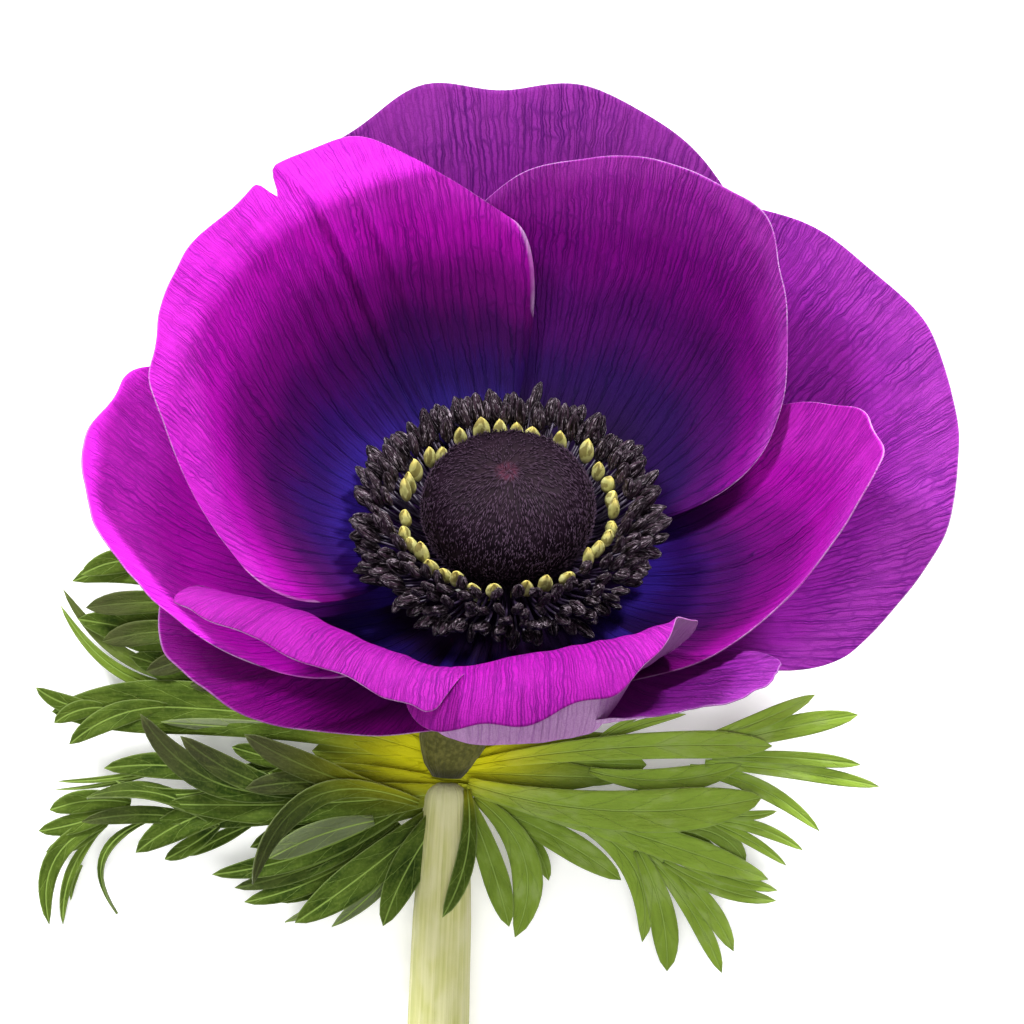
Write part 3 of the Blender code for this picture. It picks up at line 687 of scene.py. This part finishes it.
def build_dome():
    """Pistil cluster: a domed body and short styles combed up to the pole."""
    knots = np.array(DOME)
    run = np.concatenate([[0], np.cumsum(np.hypot(*np.diff(knots, axis=0).T))])
    rows, sides = 44, 96
    q = np.linspace(0, run[-1], rows)
    rho = np.interp(q, run, knots[:, 0])
    z = np.interp(q, run, knots[:, 1])
    for _ in range(6):
        rho[1:-1] = (rho[:-2] + 2 * rho[1:-1] + rho[2:]) / 4
        z[1:-1] = (z[:-2] + 2 * z[1:-1] + z[2:]) / 4
    ph = angles(sides)
    r = rho[:, None] * (1 + 0.012 * np.sin(17 * ph) * np.sin(q * 2.3)[:, None])
    pts = np.stack([r * np.cos(ph), r * np.sin(ph), np.repeat(z[:, None], sides, 1)], -1)
    pts = pts.reshape(-1, 3)
    pile = Pile()
    pile.add(flower(pts), ring_faces(rows, sides, pointed=False),
             high=np.repeat(q / run[-1], sides), tip=0.0)
    rng = np.random.default_rng(5)
    for _ in range(HAIRS):
        f = math.sqrt(rng.uniform(0.001, 1.0))
        pos = run[-1] - f * (run[-1] - HAIRLESS_FOOT)
        a = rng.uniform(0, 2 * math.pi)
        r0, z0 = np.interp(pos, q, rho), np.interp(pos, q, z)
        r1, z1 = np.interp(pos + 0.2, q, rho), np.interp(pos + 0.2, q, z)
        along = polar(r1 - r0, a, z1 - z0)
        along /= np.linalg.norm(along) + 1e-9
        around = np.array([-math.sin(a), math.cos(a), 0.0])
        up = np.cross(around, along)
        up *= 1 if up[2] + (up[0] * math.cos(a) + up[1] * math.sin(a)) > 0 else -1
        swirl = 0.12 + rng.normal(0, 0.16)
        go = along * math.cos(swirl) + around * math.sin(swirl)
        side = np.cross(up, go)
        length, wide = rng.uniform(0.4, 0.8), rng.uniform(0.035, 0.06)
        lift = rng.uniform(0.25, 0.6)
        root = polar(r0, a, z0) - up * 0.04
        mid = root + go * length * 0.5 + up * length * lift * 0.62
        tip = root + go * length + up * length * lift
        hair = np.array([root - side * wide, root + side * wide, mid + side * wide * 0.8,
                         mid - side * wide * 0.8, tip, root + up * wide * 1.2, mid + up * wide])
        pile.add(flower(hair), HAIR_FACES, high=pos / run[-1],
                 tip=np.array([0.0, 0.0, 0.5, 0.5, 1.0, 0.1, 0.6]))
    m = Nodes("Pistil")
    high, tip = m.attr("high"), m.attr("tip")
    cloud = m.noise(m.place(), 500)
    colour = m.ramp(high, [(0, 0.003, 0.001, 0.003), (0.45, 0.005, 0.002, 0.005),
                           (0.72, 0.008, 0.003, 0.007), (0.92, 0.01, 0.004, 0.008),
                           (0.965, 0.045, 0.01, 0.022), (1, 0.012, 0.004, 0.008)])
    colour = m.mix(m.step(cloud, 0.3, 0.7, 0, 0.5), colour, (0.35, 0.35, 0.4), "MULTIPLY")
    colour = m.mix(m.mul(tip, 0.5), colour, (0.15, 0.09, 0.15))
    dome_mat = m.done(m.principled(colour, 0.6, gloss=0.05))
    pile.make("pistil", [dome_mat], ["pistil_dome"], "pistil")


# ---------- bracts

# in mm: thickness of a lobe, height of the waves of its edge, space between rows of points
LEAF_THICK = 0.28
LEAF_WAVE = 0.25
LEAF_ROW = 0.9


def blade(rng, start, tip, width, z, bend, tone, wide, arch=0.0, roll=0.0, twist=0.0, fold=0.22,
          base=0.35, brown=0.3, teeth=()):
    """One lanceolate lobe of a bract.

    start and tip are (across, along) from the node in mm, z their heights; bend is the
    sideways bow and arch the upward bow of the midrib; roll and twist turn the blade about
    its midrib; wide is where along it is widest and base how wide its start is.
    teeth: (start fraction, side, length, width, turn in degrees).
    Returns a list of (points, faces, face kinds, leaf, extra); leaf is the distance from the
    midrib, start and edge, and extra is how brown, the tone and the blade's own number.
    """
    start, tip = np.array(start, float), np.array(tip, float)
    run = tip - start
    length = math.hypot(*run)
    normal = np.array([-run[1], run[0]]) / length
    rows, cols = max(14, int(length / LEAF_ROW)), 9
    s = np.linspace(0, 1, rows)
    flat = start + run * s[:, None] + normal * (bend * 4 * s * (1 - s))[:, None]
    height = z[0] + (z[1] - z[0]) * s + arch * 4 * s * (1 - s)
    path = np.column_stack([flat, height]) + (NODE[0], NODE[1], 0.0)
    tangent = directions(path)
    side = np.cross(UP, tangent)
    side /= np.linalg.norm(side, axis=1, keepdims=True)
    up = np.cross(tangent, side)
    turn = np.radians(roll + twist * s)[:, None]
    side, up = side * np.cos(turn) + up * np.sin(turn), up * np.cos(turn) - side * np.sin(turn)
    grow = base + (1 - base) * np.sin(np.minimum(s / wide, 1.0) * math.pi / 2)
    fade = np.maximum(np.cos(np.maximum((s - wide) / (1 - wide), 0.0) * math.pi / 2), 0.0) ** 0.6
    half = 0.5 * width * grow * fade
    half[-1] = 0.02
    w = np.linspace(-1, 1, cols)
    lateral = half[:, None] * w
    ph = rng.uniform(0, 6.28, 2)
    lift = fold * np.abs(lateral) * (1 - 0.35 * np.abs(w))
    lift = lift + LEAF_WAVE * np.abs(w) ** 2 * np.sin(
        s[:, None] * length * 0.55 + ph[0] + (w > 0) * ph[1]) * smooth(half / 1.5)[:, None]
    top = path[:, None] + side[:, None] * lateral[..., None] + up[:, None] * lift[..., None]
    low = top - up[:, None] * (LEAF_THICK * (1 - 0.5 * np.abs(w))[:, None])
    faces, kind = sheet_faces(rows, cols)
    pts = np.vstack([top.reshape(-1, 3), low.reshape(-1, 3)])
    mid = np.tile(np.abs(lateral).ravel(), 2)
    along = np.tile(np.repeat(s * length, cols), 2)
    edge = np.tile((half[:, None] - np.abs(lateral)).ravel(), 2)
    near_tip = np.tile(np.repeat(s, cols), 2)
    own = rng.uniform(0, 50)
    leaf = np.column_stack([mid, along, edge])
    extra = np.column_stack([near_tip * brown, np.full(len(pts), tone), np.full(len(pts), own)])
    out = [(pts, faces, kind, leaf, extra)]
    for at, sign, ln, wd, angle in teeth:
        k = at * (rows - 1)
        i = int(k)
        f = k - i
        foot = path[i] * (1 - f) + path[min(i + 1, rows - 1)] * f
        t = tangent[i][:2] / np.linalg.norm(tangent[i][:2])
        a = math.radians(angle) * sign
        go = np.array([t[0] * math.cos(a) - t[1] * math.sin(a),
                       t[0] * math.sin(a) + t[1] * math.cos(a)])
        rel = foot[:2] - NODE[:2]
        drop = rng.uniform(-1.2, 1.0)
        out += blade(rng, rel, rel + go * ln, wd, (foot[2] - 0.04, foot[2] + drop + 0.2),
                     -0.1 * ln * sign, tone, 0.5, 0.2, roll + twist * at, twist * 0.3, fold,
                     0.3, brown)
    return out


def leaf_materials():
    mats = []
    looks = (("BractTop", (0.014, 0.036, 0.001), (0.29, 0.44, 0.05), 0.02),
             ("BractUnder", (0.09, 0.12, 0.045), (0.26, 0.31, 0.17), 0.2))
    for name, dark, light, sheen in looks:
        m = Nodes(name)
        mid, along, edge = m.parts("leaf")
        brown, tone, own = m.parts("extra")
        streak = m.streaks(mid, 3.2, along, 0.35, own, 3, 0.6)
        mottle = m.streaks(mid, 0.7, along, 0.3, own, 3)
        grain = m.noise(m.place(), 3200)
        level = m.add(tone, m.line(mottle, 0.5, -0.25))
        level = m.add(level, m.line(streak, 0.35, -0.17))
        colour = m.mix(level, dark, light)
        colour = m.mix(m.step(grain, 0.45, 0.75, 0, 0.18), colour, (0.25, 0.32, 0.06))
        # painted sheen: pale silvery patches that show only on the lighter lobes
        painted_sheen = m.mul(m.step(mottle, 0.48, 0.75), m.step(tone, 0.3, 0.8, 0, 0.5))
        colour = m.mix(painted_sheen, colour, (0.36, 0.46, 0.17))
        bend = m.line(mid, -2.6, along)
        side = m.math("PINGPONG", m.line(m.noise(m.xyz(along, mid, own), 0.8), 1.2, bend), 2.1)
        veins = m.step(side, 0.03, 0.15, 0.5, 0)
        rib = m.step(mid, 0.03, 0.14, 1, 0)
        vein = m.math("MAXIMUM", rib, veins)
        vein = m.mul(vein, m.step(brown, 0.1, 0.5, 1, 0.4))
        colour = m.mix(m.mul(vein, 0.75), colour, (0.34, 0.5, 0.1))
        # paler along the margin: painted sheen
        colour = m.mix(m.step(edge, 0.02, 0.16, 0.5, 0), colour, (0.3, 0.4, 0.12))
        purple = m.step(m.line(mottle, 0.5, brown), 0.45, 1.1, 0, 0.9)
        colour = m.mix(m.mul(purple, 0.75), colour, (0.06, 0.055, 0.028))
        # yellow-green patch round the node, partly own colour and partly painted light
        colour = m.mix(m.attr("near"), colour, (0.8, 0.77, 0.01))
        height = m.add(m.mul(vein, 0.5), m.mul(streak, 0.7))
        height = m.add(height, m.mul(grain, 0.25))
        normal = m.bump(height, 0.00022)
        front = m.principled(colour, 0.55, normal, gloss=0.08, Sheen_Weight=sheen,
                             Sheen_Roughness=0.4, Sheen_Tint=(0.95, 1.0, 0.85, 1.0))
        glow = m.mix(0.5, colour, (0.22, 0.3, 0.01))
        mats.append(m.done(m.thin(front, glow, 0.22, normal)))
    return mats


def lobe(x0, y0, x1, y1, width, z0, z1, bend, tone, wide=0.45, **more):
    """A bract's lobe: midrib from (x0, y0) to (x1, y1) from the node, and heights z0 and z1,
    in mm; its sideways bow, tone from dark 0 to light 1, and where along it is widest."""
    return dict(start=(x0, y0), tip=(x1, y1), width=width, z=(z0, z1), bend=bend, tone=tone,
                wide=wide, **more)


RIGHT = [
    lobe(1, 1, 33.5, 3.2, 2.9, 7.2, 6.6, 1, 0.75, 0.8, arch=1, base=0.3),
    lobe(14.7, 0.7, 30.4, 1.3, 2.6, 6.8, 6.2, -1.3, 0.75, 0.6, base=0.3),
    lobe(25, 3.4, 37.9, 8.5, 1.8, 6.6, 6.8, -0.4, 0.75, 0.62),
    lobe(26.1, 3, 42.4, 6.4, 2.4, 6.6, 6.2, 0.2, 0.7, 0.65, base=0.5),
    lobe(27.3, 2.1, 42.7, 1.2, 1.5, 6.4, 5.4, 0.3, 0.6, 0.7, base=0.5),
    lobe(26.6, 1.4, 44.7, -1.1, 1.7, 6.4, 4.6, 0.4, 0.75, 0.65, base=0.5),
    lobe(25, 0.9, 38.6, -5.8, 1.8, 6.4, 3.4, 1.3, 0.75, 0.5, base=0.5),
    lobe(15.6, 3.9, 20, 6.3, 0.7, 6.4, 7, 0.2, 0.95, base=0.5),
    lobe(16.2, 4, 24.6, 6.5, 1, 6.4, 7, 0.3, 0.95, base=0.5),
    lobe(2.2, -0.6, 32.4, -2, 4.5, 7.6, 7.8, -2, 0.7, 0.72, arch=0.8, base=0.3, fold=0.3),
    lobe(28.3, -3.8, 34, -3.5, 1, 7, 6.4, -0.3, 0.6),
    lobe(27.3, -4.4, 36.8, -7.7, 1.4, 6.8, 4.6, 0.7, 0.65),
    lobe(27.1, -4.6, 35.1, -9.3, 1.2, 6.6, 4.2, 0.4, 0.7),
    lobe(24.5, -5.3, 30.9, -9, 2, 6, 4, 1.1, 0.45, 0.6),
    lobe(22.5, -5.5, 28.4, -8.3, 1.6, 5.8, 4, 0.3, 0.4),
    lobe(1.1, -1, 33.2, -10.7, 3.2, 7, 4.6, 0.6, 0.72, 0.72, arch=0.6, base=0.28),
    lobe(23.2, -8.4, 34.2, -11.9, 1.5, 5.6, 4, -0.2, 0.65, 0.6),
    lobe(22.4, -8.8, 34.1, -13, 1.7, 5.4, 3.6, -0.7, 0.6, 0.6),
    lobe(13.7, -4.7, 20.2, -17.3, 2.7, 6, 3.4, 2.8, 0.72, 0.5, base=0.5),
    lobe(19.7, -7.6, 22.8, -20.4, 2.8, 5.6, 2.6, 0.9, 0.62, 0.66, base=0.4),
    lobe(20.4, -7.8, 28.5, -20.6, 1.8, 5.4, 2.4, 0.8, 0.7, 0.7, base=0.4),
    lobe(20.9, -7.9, 29.7, -18.3, 2.1, 5.4, 3, 1, 0.66, 0.66, base=0.4),
    lobe(3.4, -2.7, 18, -10.8, 2.9, 6.4, 4.2, 0.7, 0.55, 0.64, arch=0.6, fold=0.35),
    lobe(6.5, -4.3, 10.5, -10.9, 1.5, 5.4, 3.6, 0.7, 0.5, 0.65),
    lobe(2.8, -2, 7, -16.7, 3.2, 6.8, 4.6, 3.2, 0.58, 0.62, arch=0.9, base=0.3),
    lobe(1.6, -1.3, 6.4, -15.5, 2.7, 7.4, 5.6, 0.4, 0.48, 0.66, arch=1),
    lobe(2.1, -1.2, -0.4, -14.1, 2, 7.8, 10.4, 1.2, 0.1, 0.62, arch=0.6, base=0.4),
    lobe(0.8, 0.8, 20.6, 1.2, 4.8, 6, 5.6, 0.4, 0.55, 0.7, base=0.4),
    lobe(0.5, 1.3, 18, 4, 2.6, 6.4, 6.4, 0.3, 0.35, 0.6, base=0.4),
    lobe(0.5, 0.5, 17, -0.1, 3.2, 6.2, 6.2, 0, 0.4, 0.55, base=0.4),
]

LEFT = [
    lobe(0.7, -1.5, -25, -5.1, 4.7, 6.4, 4.8, -1.4, 0.35, 0.5),
    lobe(-0.3, -2.7, -20.4, -7.4, 3.9, 6, 4.4, -1, 0.45, 0.5),
    lobe(-1.6, -0.4, -18.5, 0.4, 3.6, 6.2, 5.4, 0.4, 0.45, 0.5),
    lobe(1.6, -1.5, -6.6, -15.4, 3.6, 7.4, 6, -0.9, 0.4, 0.56, arch=1),
    lobe(0.9, -2, -15.7, -15.1, 3.9, 7.2, 5.6, 0.4, 0.45, 0.6, arch=0.6, base=0.3),
    lobe(-2.1, -4.6, -12, -15.7, 2.1, 5.6, 3, 0.8, 0.8, roll=165),
    lobe(-9.4, -10.1, -10.5, -14.5, 1.3, 4.4, 3, 0.3, 0.6),
    lobe(-2.9, -2.6, -19.9, -11, 2.7, 7.8, 7.6, -5.4, 0.3, 0.62, arch=1.8, brown=0.8, roll=-10,
         twist=-35),
    lobe(-7.5, -4.4, -18.3, -8.3, 2.9, 7.6, 7, -0.5, 0.8, 0.6, roll=170),
    lobe(1.6, -1.4, -29, -2.8, 4.3, 7, 5.4, 0.6, 0.4, 0.5, arch=0.8, base=0.3),
    lobe(-4.4, -3.2, -24.4, -10.3, 2.6, 6, 3.2, 1.2, 0.45, 0.6, base=0.4),
    lobe(-5.3, -4.6, -22.1, -11.7, 2.1, 5.6, 3, 1, 0.35, 0.65, brown=0.6),
    lobe(-4.8, -5, -21.1, -13.2, 2.4, 5.4, 2.8, 1.2, 0.5, 0.65, base=0.4),
    lobe(-4.8, -5.5, -17.7, -13.2, 2.1, 5.2, 2.6, 0.8, 0.3, 0.65),
    lobe(-5.8, -6.5, -16.9, -15.3, 1.7, 4.4, 2, 1.2, 0.7, roll=160),
    lobe(-15.7, -1.7, -31.4, 6.6, 2.9, 6.8, 8.8, 2.7, 0.2, 0.52, base=0.4, brown=0.9),
    lobe(-14.8, -1.7, -27.3, 4.3, 2.6, 7, 8.6, 1, 0.2, 0.55, base=0.4, brown=0.9),
    lobe(-4.8, -1.9, -20.7, 4.5, 2.9, 7.4, 9.2, 0.7, 0.15, 0.62, arch=0.5, base=0.4, brown=0.9,
         roll=-12),
    lobe(-8, -1.2, -20.7, -1.1, 2.4, 7.6, 8, -0.7, 0.15, 0.68, brown=0.8),
    lobe(-18.5, -1.3, -35.5, 0.8, 2.8, 6.2, 4.6, -1.2, 0.45, 0.6, base=0.4),
    lobe(-29.1, 0.9, -40.4, -0.6, 0.7, 5, 3.6, 0.4, 0.9, brown=0.2),
    lobe(-29.5, 0.6, -40.7, -1.5, 0.5, 4.6, 3.2, 0.4, 1, brown=0.2),
    lobe(-24.9, -1.5, -34.3, -0.5, 1.3, 5.6, 4.6, 0.8, 0.4),
    lobe(-23.5, -5, -37.3, -2.2, 2.1, 5.6, 5, -1.9, 0.5, 0.6, base=0.4, twist=60, brown=0.5),
    lobe(-24, -5, -37.9, -4.8, 1.9, 5.2, 3.8, -0.9, 0.35, 0.62, base=0.45, brown=0.7),
    lobe(-18.5, -2.7, -32.3, -8, 3.2, 5.8, 3.8, -1.3, 0.4, 0.6, arch=0.5, base=0.4),
    lobe(-23.6, -5.1, -29.3, -8.7, 1.8, 5, 3.6, 0.2, 0.4, 0.6),
    lobe(-20.4, -5.1, -26.7, -8.4, 1.5, 4.6, 3, -0.2, 0.45),
    lobe(-14.9, 0.9, -22.3, 3, 2.1, 5, 4.4, 0, 0.6, 0.6),
    lobe(-14.9, 0.9, -22.2, 0.8, 1.7, 4.8, 4.4, 0.3, 0.55, 0.6),
    lobe(-32.9, -2.9, -41.4, -3.7, 2.4, 2.6, 2, -0.6, 0.95, 0.6, brown=0.1),
    lobe(-33.9, -3.4, -42.6, -5.9, 2.1, 2.2, 1.6, 0.3, 0.95, 0.6, brown=0.1),
    lobe(-35.3, -4.8, -41.8, -8.1, 1.9, 1.8, 1.4, 0.3, 0.9, 0.6, brown=0.1),
    lobe(-35.7, -4.8, -41.5, -15.7, 2.1, 1.8, 1.2, -2.7, 0.85, brown=0.1, base=0.7),
    lobe(-36.2, -5.8, -40.1, -15.7, 1.2, 1.4, 1, -1.2, 1, brown=0.1),
    lobe(-38.1, -9.5, -39.3, -13.2, 0.6, 1.2, 0.8, -0.3, 1, brown=0.1),
    lobe(-31.2, -4.7, -34.5, -14.6, 1.2, 4, 1.6, -3.1, 0.45, twist=80),
]

BACK = [
    lobe(3, 1.8, -14, 2.6, 6, 5, 4.6, 0, 0.4, 0.5),
    lobe(-3, 1.8, 14, 3, 6, 5, 4.8, 0, 0.5, 0.5),
    lobe(-1.2, 2.2, -41, 6.6, 5.6, 5.6, 3.4, -2.2, 0.35, 0.72, teeth=((0.86, -1, 7.6, 1.9, 18),
         (0.7, 1, 11, 2.6, 22), (0.86, 1, 5.6, 2, 14))),
    lobe(-14, 4.6, -29.6, 5.6, 1.6, 4.6, 4.4, 0, 1, roll=170),
    lobe(-1.2, 2.6, -38.4, 16.2, 5, 4.8, 2.8, -2, 0.3, 0.7),
    lobe(-14, 8, -34.8, 24.6, 4.6, 4, 2.6, -1.5, 0.35, 0.75, teeth=((0.8, 1, 8, 2.6, 40),)),
    lobe(-25, 17, -39, 20.1, 2.9, 3.6, 2.6, -2.6, 0.4, 0.6),
    lobe(-24, 17.6, -37.4, 17.4, 2.5, 4.6, 4.4, -0.5, 0.35, 0.7, brown=0.9),
    lobe(-24, 14.6, -35.7, 13.9, 2.6, 4.8, 4.4, -0.7, 0.35, 0.7, brown=0.9),
    lobe(-22, 15, -31.2, 10.8, 2.3, 5, 4.6, 0.4, 0.2, 0.7, brown=1),
    lobe(-18, 11.6, -26.6, 9.4, 2.2, 5, 4.8, 0.3, 0.15, 0.7, brown=0.9),
    lobe(-22, 10, -40, 19.3, 1.6, 3.2, 2, 3.2, 0.95, brown=0.9),
    lobe(-22, 9.4, -40.3, 17.6, 1.4, 2.6, 1.6, 3.8, 1, brown=0.3),
    lobe(-10, 5.6, -33, 12.4, 4.4, 3.8, 3.2, 0, 0.25, 0.6),
    lobe(-1, 2.6, -12, 6.4, 5, 5.4, 4.8, 0, 0.3, 0.5),
    lobe(0.8, 3, 10, 24, 6.5, 4.2, 1.2, 1.5, 0.4, 0.6, teeth=((0.5, 1, 10, 3, 26), (0.55, -1, 10,
         3, 26), (0.75, 1, 6, 2.2, 26))),
    lobe(0.2, 3, -5, 24, 6, 4.2, 1, -1, 0.4, 0.6, teeth=((0.5, 1, 9, 3, 26), (0.6, -1, 9, 3, 26))),
    lobe(-3.2, -0.3, 4.4, -0.3, 2.6, 5.6, 5.6, 0, 0.1, 0.5, base=0.4),
]


def build_bracts():
    mats = leaf_materials()
    # per-bract scale of the lobes' tone: painted light, the right bract made lighter and the left
    # darker
    for name, lobes, seed, painted_light_level in (("right", RIGHT, 21, 1.25), ("left", LEFT, 22, 0.3),
                                         ("back", BACK, 23, 0.6)):
        rng = np.random.default_rng(seed)
        pile, kinds = Pile(), []
        for spec in lobes:
            spec = dict(spec, tone=spec["tone"] * painted_light_level)
            for pts, faces, kind, leaf, extra in blade(rng, **spec):
                pile.add(pts, faces, leaf=leaf, extra=extra)
                kinds += [min(k, 1) for k in kind]
        # yellow-green patch round the node: partly the bract bases' own colour, partly painted
        # light that keeps it bright where the petals shade it
        gap = np.vstack(pile.pts) - (NODE + (0.0, 2.4, 0.0))
        near = np.minimum(1.4 * np.exp(-((gap[:, 0] / 8.0) ** 2 + (gap[:, 1] / 3.4) ** 2)), 1.0)
        pile.attrs["near"] = [near]
        pile.make("bract_" + name + "_leaf", mats, ["bract_" + name], "bract", kinds)


# ---------- stem

def bezier(p0, p1, p2, p3, u):
    u = np.asarray(u, float)[:, None]
    return (1 - u) ** 3 * p0 + 3 * u * (1 - u) ** 2 * p1 + 3 * u * u * (1 - u) * p2 + u ** 3 * p3


def rounded(path, radius, sides, ridges):
    u = np.arange(sides) * 2 * math.pi / sides
    along = np.linspace(0, 1, len(path))[:, None]
    wobble = ridges * (np.sin(11 * u) + 0.6 * np.sin(7 * u + 3 * along)
                       + 0.5 * np.sin(19 * u + 1.3))
    return tube(path, radius, sides, wobble)


def build_stem():
    pile = Pile()
    top, low = BASE + 1.1 * E3, BASE - 7.0 * E3
    neck = bezier(low, low - 9.0 * E3, NODE + (0.4, 9.0, 0.2), NODE, np.linspace(0, 1, 22)[1:])
    path = np.vstack([[top, BASE - 3.0 * E3, low], neck])
    place = np.linspace(0, 1, len(path))
    radius = np.interp(place, [0, 0.1, 0.2, 0.5, 0.72, 0.86, 0.95, 1.0],
                       [4.7, 4.5, 3.5, 3.3, 3.75, 3.5, 2.6, 1.5])
    pts, faces, coords = rounded(path, radius, 48, 0.012)
    pile.add(pts, faces, part=0.0, along=coords[:, 1], turn=coords[:, 0])
    start = NODE + (0.05, -0.6, -0.1)
    u = np.linspace(0, 1, 70) ** 1.6
    path = bezier(start, start + (-0.8, -18.0, -0.6), STEM_END + (0.6, 45.0, 0.0), STEM_END, u)
    gone = np.abs(path[:, 1] - start[1])
    radius = np.interp(gone, [0, 0.25, 0.7, 1.5, 3.0, 6.0, 14.0, 40.0, 93.0],
                       [0.9, 1.5, 2.0, 2.3, 2.4, 2.6, 3.0, 3.4, 3.45])
    radius[-1] -= 0.12
    pts, faces, coords = rounded(path, radius, 64, 0.01)
    pile.add(pts, faces, part=1.0, along=np.abs(pts[:, 1] - start[1]), turn=coords[:, 0])
    m = Nodes("Stem")
    part, along, turn = m.attr("part"), m.attr("along"), m.attr("turn")
    round_x, round_y = m.math("COSINE", turn), m.math("SINE", turn)
    streak = m.streaks(round_x, 7, round_y, 7, m.mul(along, 0.05), 3, 0.6)
    patch = m.noise(m.xyz(round_x, round_y, m.mul(along, 0.16)), 1.3)
    fine = m.noise(m.place(), 2200)
    pale = m.mix(m.step(streak, 0.35, 0.68), (0.42, 0.43, 0.135), (0.57, 0.56, 0.25))
    pale = m.mix(m.step(patch, 0.4, 0.7, 0, 0.5), pale, (0.62, 0.6, 0.36))
    pale = m.mix(m.step(along, 0, 4.5, 0.55, 0), pale, (0.55, 0.56, 0.3))
    # pedicel: its green darkened to olive as painted shade under the flower, near black at the
    # node end as a painted shadow in the gap there
    painted_shade_olive = m.mix(m.step(fine, 0.35, 0.7), (0.06, 0.06, 0.006), (0.12, 0.115, 0.02))
    painted_shade_olive = m.mix(m.step(along, 0.93, 1), painted_shade_olive, (0.02, 0.02, 0.004))
    colour = m.mix(part, painted_shade_olive, pale)
    height = m.add(m.mul(streak, 0.8), m.mul(fine, 0.2))
    normal = m.bump(height, 0.00022)
    stem_mat = m.done(m.principled(colour, 0.48, normal, gloss=0.2,
                                   Sheen_Weight=0.08, Sheen_Roughness=0.5))
    pile.make("stem_and_pedicel", [stem_mat], ["stem"], "stem")


# ---------- stage, light, camera

# half the side of the floor in metres; height in mm above the floor and focal length in mm
STAGE = 4.0
CAMERA_HEIGHT = 470.0
CAMERA_LENS = 158.203125


def build_stage():
    m = Nodes("StagePaper")
    grain = m.noise(m.place(), 60, 3)
    colour = m.mix(m.step(grain, 0.3, 0.7, 0, 0.02), (0.98, 0.98, 0.98), (0.9, 0.9, 0.9))
    paper = m.done(m.principled(colour, 0.9, gloss=0.1, Emission_Color=(1, 1, 1),
                                Emission_Strength=0.2))
    mesh = bpy.data.meshes.new("Stage")
    corners = [(-STAGE, -STAGE, 0), (STAGE, -STAGE, 0), (STAGE, STAGE, 0), (-STAGE, STAGE, 0)]
    mesh.from_pydata(corners, [], [(0, 1, 2, 3)])
    mesh.materials.append(paper)
    floor = add_object("Stage", mesh)


def area_light(name, direction, distance, size, power):
    data = bpy.data.lights.new(name, "AREA")
    data.shape = "DISK"
    data.size = size
    data.energy = power
    light = add_object(name, data)
    target = mathutils.Vector((0.0, 0.04, 0.02))
    d = mathutils.Vector(direction).normalized()
    light.location = target + d * distance
    light.rotation_euler = d.to_track_quat("Z", "Y").to_euler()


def build_light():
    world = bpy.data.worlds.new("Studio")
    bpy.context.scene.world = world
    world.use_nodes = True
    back = world.node_tree.nodes["Background"]
    back.inputs["Color"].default_value = (1.0, 1.0, 1.0, 1.0)
    back.inputs["Strength"].default_value = 0.56
    area_light("Key", (0.42, 0.85, 0.45), 1.2, 0.18, 27.0)
    area_light("Side", (-0.55, 0.75, 0.5), 1.2, 0.3, 19.0)
    area_light("Top", (0.0, -0.25, 1.0), 1.4, 0.8, 10.0)
    bpy.context.scene.view_settings.view_transform = "Standard"


def build_camera():
    data = bpy.data.cameras.new("Camera")
    data.sensor_width = 36.0
    data.lens = CAMERA_LENS
    data.clip_start = 0.01
    camera = add_object("Camera", data)
    camera.location = ((SHIFT + (0.0, 0.0, CAMERA_HEIGHT)) * MM).tolist()
    bpy.context.scene.camera = camera


build_stage()
build_light()
build_camera()
build_tepals(tepal_materials())
build_stamens()
build_dome()
build_bracts()
build_stem()
